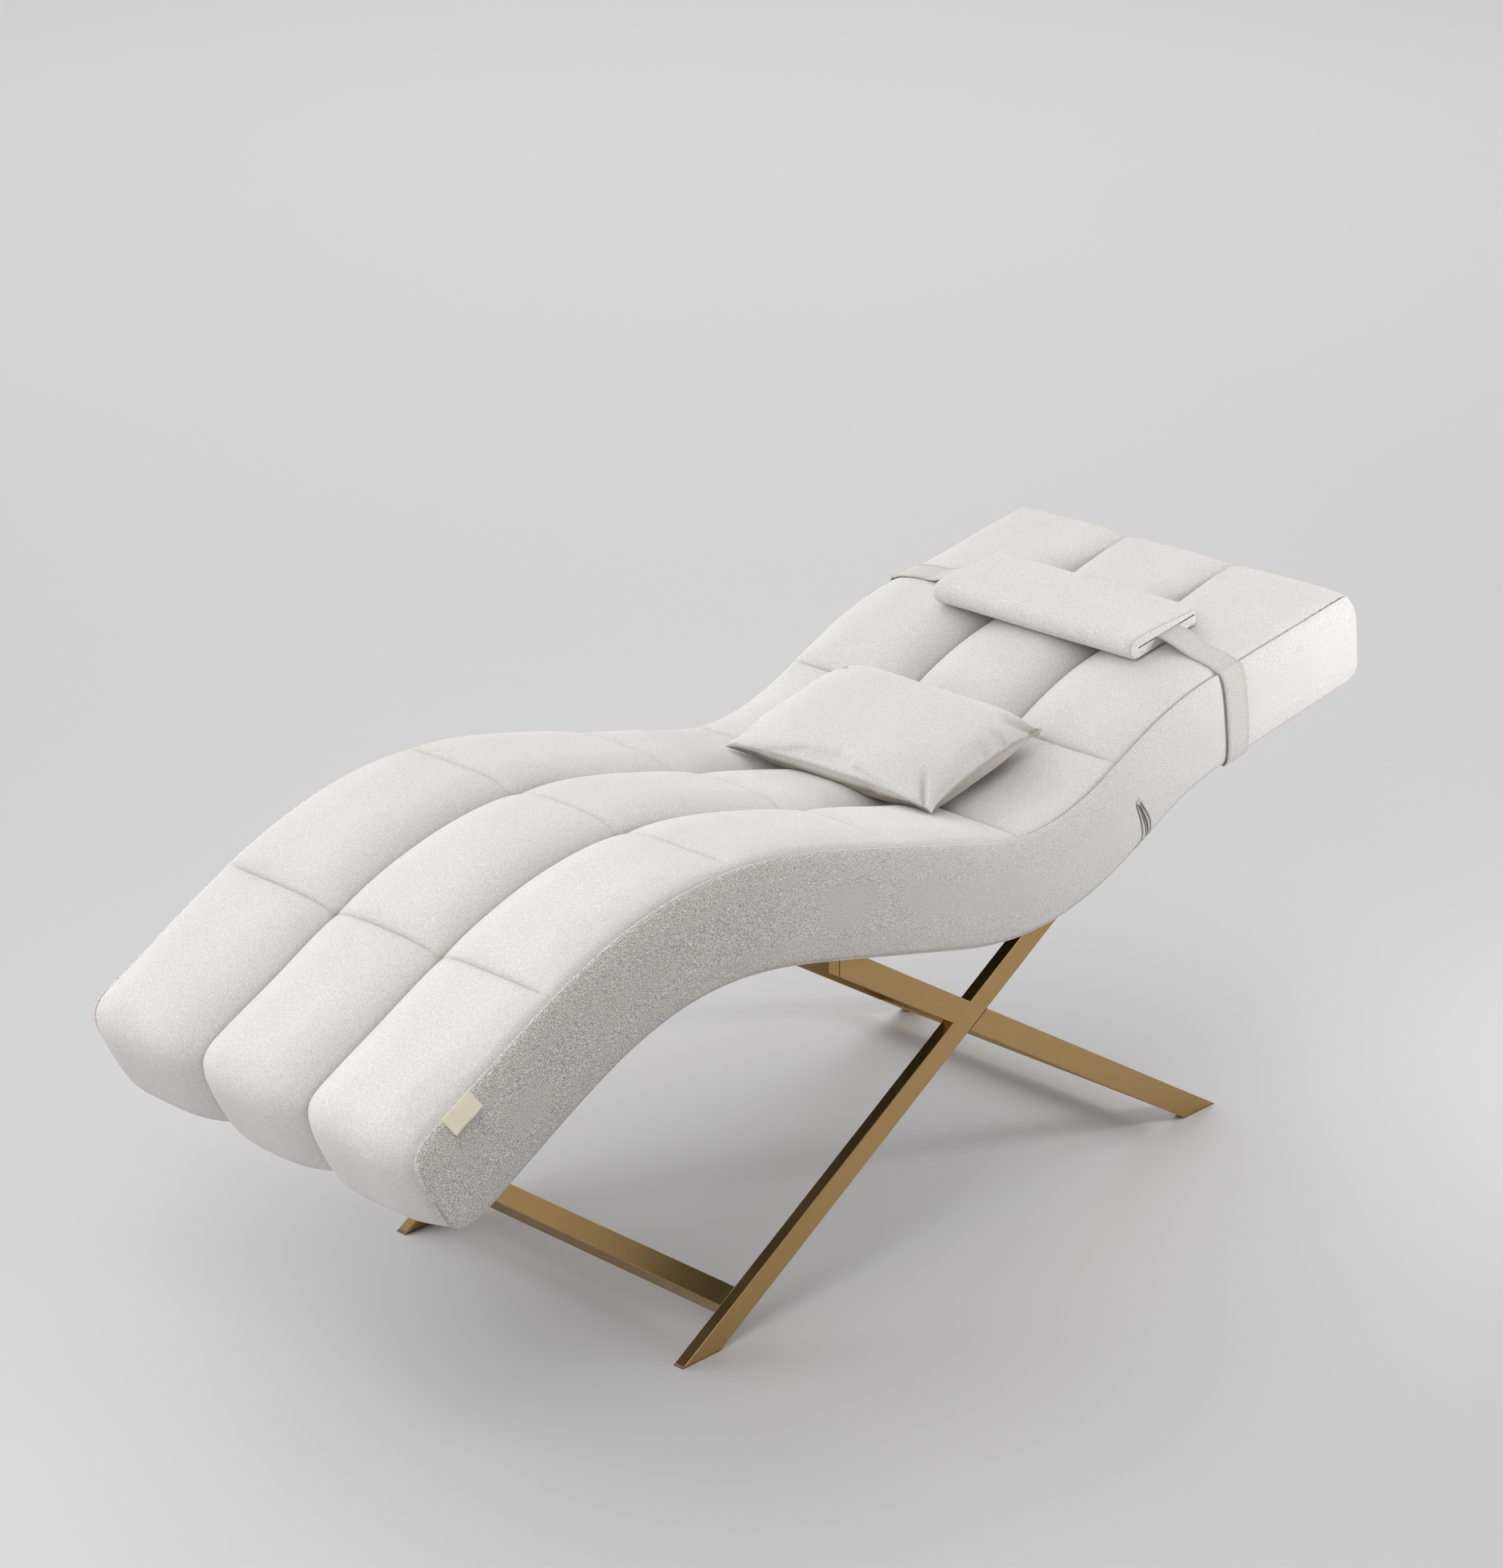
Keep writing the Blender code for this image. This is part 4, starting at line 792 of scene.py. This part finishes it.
def stuffed(piece, pressure, frames, cap):
    """Let the filling press the cloth out for a while; no point moves past the cap."""
    before = [vert.co.copy() for vert in piece.data.vertices]
    cloth = piece.modifiers.new("stuffing", "CLOTH")
    weave = {"quality": 6, "mass": 0.15, "tension_stiffness": 20, "compression_stiffness": 20,
             "shear_stiffness": 8, "bending_stiffness": 0.4, "air_damping": 3,
             "use_pressure": True, "uniform_pressure_force": pressure}
    for setting, value in weave.items():
        setattr(cloth.settings, setting, value)
    cloth.settings.effector_weights.gravity = 0
    scene = bpy.context.scene
    for number in range(1, frames + 1):
        scene.frame_set(number)
    graph = bpy.context.evaluated_depsgraph_get()
    after = [vert.co.copy() for vert in piece.evaluated_get(graph).data.vertices]
    piece.modifiers.remove(cloth)
    for vert, start, end in zip(piece.data.vertices, before, after):
        move = end - start
        if move.length > cap:
            move *= cap / move.length
        vert.co = start + move
    scene.frame_set(1)


def pillow_place(p, q):
    """Place between the pillow's corners; q runs from foot to head, p from left to right."""
    low_left, low_right, high_left, high_right = (Vector(c) for c in PILLOW_CORNERS)
    low = low_left.lerp(low_right, (p + 1) / 2)
    high = high_left.lerp(high_right, (p + 1) / 2)
    spot = low.lerp(high, (q + 1) / 2)
    # The belly lifts the seam between the corners at the foot end.
    spot.z += 0.003 * (1 - p ** 4) * (1 - q) / 2
    return spot


def fold_depth(along, across):
    """Depth of the upper panel's folds at a place."""
    spot = Vector((along, across))
    depth = 0.0
    for start, end, width, deep in PILLOW_FOLDS:
        share, far = near_line(spot, start, end)
        depth += deep * (1 - share * share) * math.exp(-(far / width / (0.6 + share)) ** 2)
    return depth


def seam_share(step, count):
    """Place from -1 to 1 of a grid line, closer together toward the seams."""
    return math.sin((step / count - 0.5) * math.pi * 0.9) / math.sin(math.pi * 0.45)


def loose_pillow(finish, top):
    """The pillow's two panels, stuffed and bedded on the quilt."""
    count_q, count_p = 72, 104
    bm, column, row, painted_shade = grid(count_q, count_p, ("painted_shade",))
    lower = bm.verts.layers.int.new("lower")
    skin = bmesh.ops.extrude_face_region(bm, geom=list(bm.faces))["geom"]
    for part in skin:
        if isinstance(part, bmesh.types.BMVert):
            part[lower] = 1
    rims = [edge for edge in bm.edges if edge.verts[0][lower] != edge.verts[1][lower]]
    up = Vector((-math.sin(PILLOW_TILT), 0.0, math.cos(PILLOW_TILT)))
    along = Vector((up.z, 0.0, -up.x))
    for vert in bm.verts:
        q = seam_share(vert[column], count_q)
        p = seam_share(vert[row], count_p)
        # The lower panel leaves the foot end's seam at a thin wedge.
        full = 0.43 + (0.5 * ((1 - q) / 2) ** 3 if vert[lower] else 0.0)
        thick = max((1 - abs(p) ** 3) * (1 - abs(q) ** 3), 0.0) ** full
        corner = math.hypot((1 - abs(p)) * PILLOW_HALF[1], (1 - abs(q)) * PILLOW_HALF[0])
        # The far corner at the head end is the least filled.
        reach = 0.062 if p > 0 and q > 0 else 0.040
        thick *= 1 - 0.45 * math.exp(-(corner / reach) ** 2)
        # The sides are drawn in by a twentieth between the corners.
        flat = pillow_place(p * (1 - 0.050 * (1 - q * q)), q * (1 - 0.050 * (1 - p * p)))
        rise = -PILLOW_RISE if vert[lower] else PILLOW_RISE
        vert.co = flat + up * rise * thick
        if q < 0 and not vert[lower]:
            # The filling hangs forward over the foot end's seam.
            ease = (1 + q) / 0.065
            vert.co -= along * 0.012 * ease * math.exp(1 - ease) * (1 - p ** 6)
        if vert[lower]:
            # Painted shade on the lower panel, darkest at the foot end under the overhang.
            vert[painted_shade] = 0.30 + 0.70 * ((1 - q) / 2) ** 2
        # Painted shade along the seam.
        if thick == 0.0:
            vert[painted_shade] = 0.60
    bmesh.ops.collapse(bm, edges=rims)
    piece = finished(bm, "pillow_cover", finish, "pillow", 75)
    stuffed(piece, 3.0, 14, 0.007)
    bed_pillow(piece.data, up, along, top)
    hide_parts("pillow_top_panel", "pillow_bottom_panel", "pillow_filling")
    smooth = piece.modifiers.new("smooth", "SUBSURF")
    smooth.levels = smooth.render_levels = 1
    return piece


def bed_pillow(mesh, up, along, top):
    """Press the folds in, paint shade into them, and bed the pillow's underside on the quilt."""
    quilt = BVHTree.FromObject(top, bpy.context.evaluated_depsgraph_get())
    middle = pillow_place(0.0, 0.0)
    normals = [vert.normal.copy() for vert in mesh.vertices]
    painted_shade = mesh.attributes["painted_shade"].data
    for vert, normal in zip(mesh.vertices, normals):
        spot = vert.co - middle
        if normal.dot(up) > 0.1:
            fold = fold_depth(spot.dot(along), spot.y)
            vert.co -= up * fold
            # Painted shade in the folds.
            painted_shade[vert.index].value += fold * 45
        hit = quilt.ray_cast(Vector((vert.co.x, vert.co.y, 2.0)), Vector((0.0, 0.0, -1.0)))
        vert.co.z = max(vert.co.z, hit[0].z + 0.0012)


# Head pad and strap

PAD_FRONT, PAD_BACK, PAD_WIDTH, PAD_OFFSET = 0.087, 0.071, 0.386, -0.015
PAD_BASE, PAD_LEAF, PAD_GAP, PAD_FOLD = 0.0133, 0.018, 0.0026, 0.020
PAD_TOP = PAD_BASE + PAD_LEAF * 2 + PAD_GAP
PAD_MIDDLE, PAD_CENTRE = (PAD_BASE + PAD_TOP) / 2, (PAD_BACK - PAD_FRONT) / 2
STRAP_WIDTH, STRAP_THICKNESS = 0.048, 0.002
STRAP_RUN_DOWN = 0.072


def head_frame():
    """X along the head section, Y across, Z up, on the seam under the strap."""
    return (Matrix.Translation(place(STRAP_PLACE, 0.0, 0.0))
            @ Matrix.Rotation(-math.radians(HEAD_ANGLE), 4, "Y"))


def arc(a, h, radius, start, end, steps):
    """Points on an arc about (a, h), both ends included."""
    turns = [start + (end - start) * k / steps for k in range(steps + 1)]
    return [(a + radius * math.cos(turn), h + radius * math.sin(turn)) for turn in turns]


def level_line(start, end, h, steps):
    """Points with the same second value, both ends included."""
    return [(start + (end - start) * k / steps, h) for k in range(steps + 1)]


def pad_outline(inset):
    """Section of the folded pad: two leaves joined by a rounded fold at the front."""
    low, high = PAD_BASE + inset, PAD_TOP - inset
    radius, corner, slit = (high - low) / 2, 0.006, PAD_GAP / 2
    front, back = -PAD_FRONT + inset + radius, PAD_BACK - inset
    inner, mouth, turn = -PAD_FRONT + PAD_FOLD, back - 0.004, math.pi / 2
    points = arc(front, PAD_MIDDLE, radius, -turn, -3 * turn, 16)
    points += level_line(front, back - corner, high, 14)[1:-1]
    points += arc(back - corner, high - corner, corner, turn, 0.0, 6)
    points.append((back - 0.001, PAD_MIDDLE + slit + 0.003))
    points += level_line(mouth, inner, PAD_MIDDLE + slit, 11)
    points += level_line(inner, mouth, PAD_MIDDLE - slit, 11)
    points.append((back - 0.001, PAD_MIDDLE - slit - 0.003))
    points += arc(back - corner, low + corner, corner, 0.0, -turn, 6)
    points += level_line(back - corner, front, low, 14)[1:-1]
    return points


def folded_pad(finish):
    """The folded pad, with its sewn ends rounded over."""
    matrix = head_frame()
    half, seam_inset = PAD_WIDTH / 2, 0.0026
    near = [(0.0, 0.0042), (0.0005, seam_inset), (0.0016, 0.0012), (0.0032, 0.0004),
            (0.0055, 0.0)]
    stops = [(-half + y, inset) for y, inset in near]
    stops += level_line(-half + near[-1][0], half - near[-1][0], 0.0, 44)[1:-1]
    stops += [(half - y, inset) for y, inset in reversed(near)]
    count = len(pad_outline(0.0))
    bm, column, row, painted_shade = grid(count, len(stops) - 1, ("painted_shade",))
    sections = [pad_outline(inset) for y, inset in stops]
    for vert in bm.verts:
        y, inset = stops[vert[row]]
        a, h = sections[vert[row]][vert[column] % count]
        share_y = 1 - (abs(y) / half) ** 4
        share_a = max(0.0, 1 - abs((a - PAD_CENTRE) / (PAD_BACK - PAD_CENTRE)) ** 4)
        if h > PAD_MIDDLE + PAD_GAP:
            h += 0.0022 * share_y * share_a - 0.0008
            # The upper leaf thins toward its open side.
            h -= 0.0070 * smooth_share((a + 0.060) / 0.125)
        if h < PAD_MIDDLE - PAD_GAP:
            # The underside stays clear of the fuller tufts that the pad slides over.
            h += 0.0014
        h += 0.0007 * uneven(a, y, 16, 4.4) * share_y
        vert.co = matrix @ Vector((a, PAD_OFFSET + y, h))
        # Painted shade along the seam of the sewn ends.
        vert[painted_shade] = 0.45 if inset == seam_inset else 0.0
    close_ends(bm)
    piece = finished(bm, "folded_pad", finish, "head_pad", 40)
    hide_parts("head_pad")
    return piece


def strap_side(cushion, side):
    """(y, height) of the strap's inner face from the pad's slit to under the bed."""
    pad_end = side * PAD_OFFSET + PAD_WIDTH / 2
    touch = pad_end + STRAP_RUN_DOWN

    def rest(y):
        return max(quilt_height(cushion, 1.0, y) + 0.0012, 0.0004)

    slit = PAD_MIDDLE - STRAP_THICKNESS / 2
    points = [(pad_end - 0.030, slit), (pad_end - 0.015, slit)]
    for k in range(13):
        y = pad_end + (touch - pad_end) * k / 12
        points.append((y, slit + (rest(y) - slit) * smooth_share(k / 12)))
    step = 0.006
    y = touch + step
    while y < HALF_WIDTH - step:
        points.append((y, rest(y)))
        y += step
    points += [(HALF_WIDTH - 0.0030, rest(HALF_WIDTH - 0.0030)), (HALF_WIDTH + 0.0008, 0.0010),
               (HALF_WIDTH + 0.0028, -0.0022)]
    depth = depth_at(STRAP_PLACE - STRAP_WIDTH / 2)
    for k in range(1, 20):
        down = depth * k / 20
        inset = min(down, depth - down) / (depth / 2)
        points.append((HALF_WIDTH + cushion.bulge * swell(inset) + 0.0026, -down))
    points += [(HALF_WIDTH + 0.0015, -depth - 0.0006), (HALF_WIDTH - 0.0015, -depth - 0.0023)]
    return points


def pad_strap(cushion, finish):
    """Flat strap loop: through the pad, over the quilt's edges and under the bed."""
    matrix = head_frame()
    right = strap_side(cushion, 1)
    left = [(-y, h) for y, h in strap_side(cushion, -1)]
    loop = right + list(reversed(left))
    count, across = len(loop), 12
    bm, column, row, painted_shade = grid(count, across, ("painted_shade",))
    for vert in bm.verts:
        y, h = loop[vert[column] % count]
        a = (vert[row] / across - 0.5) * STRAP_WIDTH
        vert.co = matrix @ Vector((a, y, h))
        # Painted shade over the whole strap, darker along its edges.
        vert[painted_shade] = 0.36 if vert[row] in (1, across - 1) else 0.24
    bmesh.ops.remove_doubles(bm, verts=bm.verts, dist=1e-6)
    piece = finished(bm, "pad_strap", finish, "head_pad")
    thicken(piece, STRAP_THICKNESS, 1.0)
    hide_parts("head_strap")
    return piece


def closing_patch(finish):
    """Hook and loop patch that closes the strap under the bed."""
    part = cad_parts["strap_fastener"]
    bm = bmesh.new()
    bm.from_mesh(part.data)
    bmesh.ops.remove_doubles(bm, verts=bm.verts, dist=1e-6)
    bmesh.ops.dissolve_limit(bm, angle_limit=0.02, verts=bm.verts, edges=bm.edges)
    bmesh.ops.bevel(bm, geom=list(bm.edges), offset=0.0007, offset_type="OFFSET",
                    affect="EDGES", segments=3, profile=0.5, material=-1)
    piece = finished(bm, "closing_patch", finish, "head_pad")
    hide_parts("strap_fastener")
    return piece


# Stage

def area_light(name, spot, target, size, energy):
    """A softbox turned to its target."""
    lamp = bpy.data.lights.new(name, "AREA")
    lamp.shape = "RECTANGLE"
    lamp.size, lamp.size_y = size
    lamp.energy = energy
    light = linked(name, lamp)
    light.location = spot
    light.rotation_euler = (Vector(target) - Vector(spot)).to_track_quat("-Z", "Y").to_euler()


def studio_air(name, settings):
    """Soft air that is brightest overhead, behind the bed and past its foot end; the
    camera and gloss see the plain backdrop."""
    world = bpy.data.worlds.new(name)
    world.use_nodes = True
    tree = world.node_tree
    parts = add(tree, "SeparateXYZ", add(tree, "TexCoord")["Generated"])
    total = 0.0
    for axis, facing, share in (("Z", 1.0, 0.95), ("X", -1.0, 0.72), ("Y", 1.0, 2.87)):
        turned = add(tree, "Math", parts[axis], facing, operation="MULTIPLY")
        front = add(tree, "Math", turned[0], 0.0, operation="MAXIMUM")
        soft = add(tree, "Math", front[0], 2.0, operation="POWER")
        total = add(tree, "Math", soft[0], share * settings.level, total,
                    operation="MULTIPLY_ADD")[0]
    air = tree.nodes["Background"]
    air.inputs["Color"].default_value = (1.0, 1.0, 1.0, 1.0)
    tree.links.new(total, air.inputs["Strength"])
    backdrop = add(tree, "Background", rgba(settings.floor))
    ray = add(tree, "LightPath")
    seen = ray["Is Camera Ray"]
    for kind in ("Is Glossy Ray", "Is Transmission Ray"):
        seen = add(tree, "Math", seen, ray[kind], operation="MAXIMUM")[0]
    mixed = add(tree, "MixShader", seen, air.outputs[0], backdrop[0])
    tree.links.new(mixed[0], tree.nodes["World Output"].inputs["Surface"])
    return world


def studio(settings):
    """Camera at the photo's place, floor, soft air and three lamps."""
    scene = bpy.context.scene
    scene.view_settings.view_transform = "Standard"
    lens = bpy.data.cameras.new("photo_camera")
    lens.lens = 95.31
    lens.sensor_width = 36.0
    camera = linked("photo_camera", lens)
    camera.location = (-3.947, -3.784, 2.754)
    camera.rotation_euler = (math.radians(68.828), 0.0, math.radians(-45.929))
    scene.camera = camera

    bm = bmesh.new()
    bmesh.ops.create_grid(bm, x_segments=2, y_segments=2, size=40.0)
    mesh = bpy.data.meshes.new("studio_floor")
    bm.to_mesh(mesh)
    bm.free()
    mesh.materials.append(painted_floor("painted_studio_floor", settings.floor))
    linked("studio_floor", mesh)

    scene.world = studio_air("studio_air", settings)
    level = settings.level
    area_light("foot_softbox", (-2.2, -0.8, 2.6), (-0.6, 0.0, 0.6), (1.5, 1.5), 23 * level)
    area_light("rear_softbox", (5.0, 5.0, 4.5), (5.0, 5.0, 0.0), (6.0, 6.0), 90 * level)
    # Tilted up, so that it lights the head end and spares the floor.
    area_light("head_softbox", (1.2, -1.4, 0.9), (0.95, -0.3, 1.25), (0.5, 0.5), 15 * level)


# Operators

class LASHBED_OT_stage(bpy.types.Operator):
    """Make the camera, the floor and the lamps"""
    bl_idname = "lashbed.stage"
    bl_label = "Stage"

    def execute(self, context):
        studio(context.scene.lashbed_stage)
        return {"FINISHED"}


class LASHBED_OT_cushion(bpy.types.Operator):
    """Make the quilted top and the two side bands"""
    bl_idname = "lashbed.cushion"
    bl_label = "Cushion"

    def execute(self, context):
        cushion = context.scene.lashbed_cushion
        quilted_top(cushion, velour("offwhite_velour", cushion.fabric, cushion.shade))
        # The side bands carry a painted speckle of light and shade, strong at the foot end.
        brushed = velour("grazing_speckle_velour", cushion.fabric, cushion.shade, True)
        side_band("left_side_band", -1, cushion, brushed)
        side_band("right_side_band", 1, cushion, brushed)
        return {"FINISHED"}


class LASHBED_OT_tab(bpy.types.Operator):
    """Make the blank cotton tab in the left seam"""
    bl_idname = "lashbed.tab"
    bl_label = "Cotton tab"

    def execute(self, context):
        cushion = context.scene.lashbed_cushion
        blank_tab(cushion, twill_cotton("cream_twill_cotton", cushion.tab))
        return {"FINISHED"}


class LASHBED_OT_lining(bpy.types.Operator):
    """Make the dust cloth under the bed"""
    bl_idname = "lashbed.lining"
    bl_label = "Underside lining"

    def execute(self, context):
        underside_lining(spunbond_lining("black_spunbond", context.scene.lashbed_cushion.lining))
        return {"FINISHED"}


class LASHBED_OT_pillow(bpy.types.Operator):
    """Make the loose pillow and bed it in the seat"""
    bl_idname = "lashbed.pillow"
    bl_label = "Pillow"

    def execute(self, context):
        cushion = context.scene.lashbed_cushion
        finish = velour("pillow_velour", cushion.pillow, cushion.shade)
        loose_pillow(finish, bpy.data.objects["quilted_top"])
        return {"FINISHED"}


class LASHBED_OT_head_pad(bpy.types.Operator):
    """Make the folded head pad, its strap and the strap's patch"""
    bl_idname = "lashbed.head_pad"
    bl_label = "Head pad"

    def execute(self, context):
        cushion = context.scene.lashbed_cushion
        finish = velour("pad_velour", cushion.pad_fabric, cushion.shade)
        folded_pad(finish)
        pad_strap(cushion, finish)
        closing_patch(hook_tape("hook_and_loop_nylon"))
        return {"FINISHED"}


class LASHBED_OT_legs(bpy.types.Operator):
    """Finish the brass legs and stretchers, their glides and the steel brackets"""
    bl_idname = "lashbed.legs"
    bl_label = "Legs"

    def execute(self, context):
        legs = context.scene.lashbed_legs
        slope = math.radians(31.76)
        for name, turn, starts, ends in (
                ("front", (0.0, -slope, 0.0), "front_leg", ""),
                ("rear", (0.0, slope, 0.0), ("rear_leg", "tube_end"), ""),
                ("cross", (0.0, 0.0, math.pi / 2), "", "stretcher")):
            brass = brushed_brass(f"brushed_brass_{name}", legs.brass, legs.roughness, turn)
            dress(starts, brass, ends)
        dress("glide", moulded_nylon("bronze_nylon"))
        dress("bracket", galvanised_steel("zinc_steel"))
        return {"FINISHED"}


class LASHBED_OT_carcass(bpy.types.Operator):
    """Finish the timber and plywood inside the cushion"""
    bl_idname = "lashbed.carcass"
    bl_label = "Timber"

    def execute(self, context):
        timber = context.scene.lashbed_legs.timber
        rails = sawn_wood("sawn_pine", timber, (1.0, 0.06, 1.0))
        boards = sawn_wood("birch_plywood", timber, (0.06, 1.0, 1.0))
        dress(("cross_rail", "mount_block"), rails)
        dress("", boards, ("_rib", "_board"))
        return {"FINISHED"}


GROUPS = {"lashbed_cushion": CushionSettings, "lashbed_legs": LegSettings,
          "lashbed_stage": StageSettings}
STEPS = ("stage", "cushion", "tab", "lining", "pillow", "head_pad", "legs", "carcass")


class LASHBED_PT_panel(bpy.types.Panel):
    """Sizes, colours and steps of the lash bed"""
    bl_label = "Lash bed"
    bl_space_type = "VIEW_3D"
    bl_region_type = "UI"
    bl_category = "Lash bed"

    def draw(self, context):
        for group in GROUPS:
            settings = getattr(context.scene, group)
            box = self.layout.box()
            for name in settings.__annotations__:
                box.prop(settings, name)
        for step in STEPS:
            self.layout.operator(f"lashbed.{step}")


CLASSES = (*GROUPS.values(), LASHBED_OT_stage, LASHBED_OT_cushion, LASHBED_OT_tab,
           LASHBED_OT_lining, LASHBED_OT_pillow, LASHBED_OT_head_pad, LASHBED_OT_legs,
           LASHBED_OT_carcass, LASHBED_PT_panel)


def register():
    for made in CLASSES:
        bpy.utils.register_class(made)
    for name, group in GROUPS.items():
        setattr(bpy.types.Scene, name, bpy.props.PointerProperty(type=group))


def unregister():
    for name in GROUPS:
        delattr(bpy.types.Scene, name)
    for made in reversed(CLASSES):
        bpy.utils.unregister_class(made)


def main():
    register()
    for step in STEPS:
        getattr(bpy.ops.lashbed, step)()


if __name__ == "__main__":
    main()
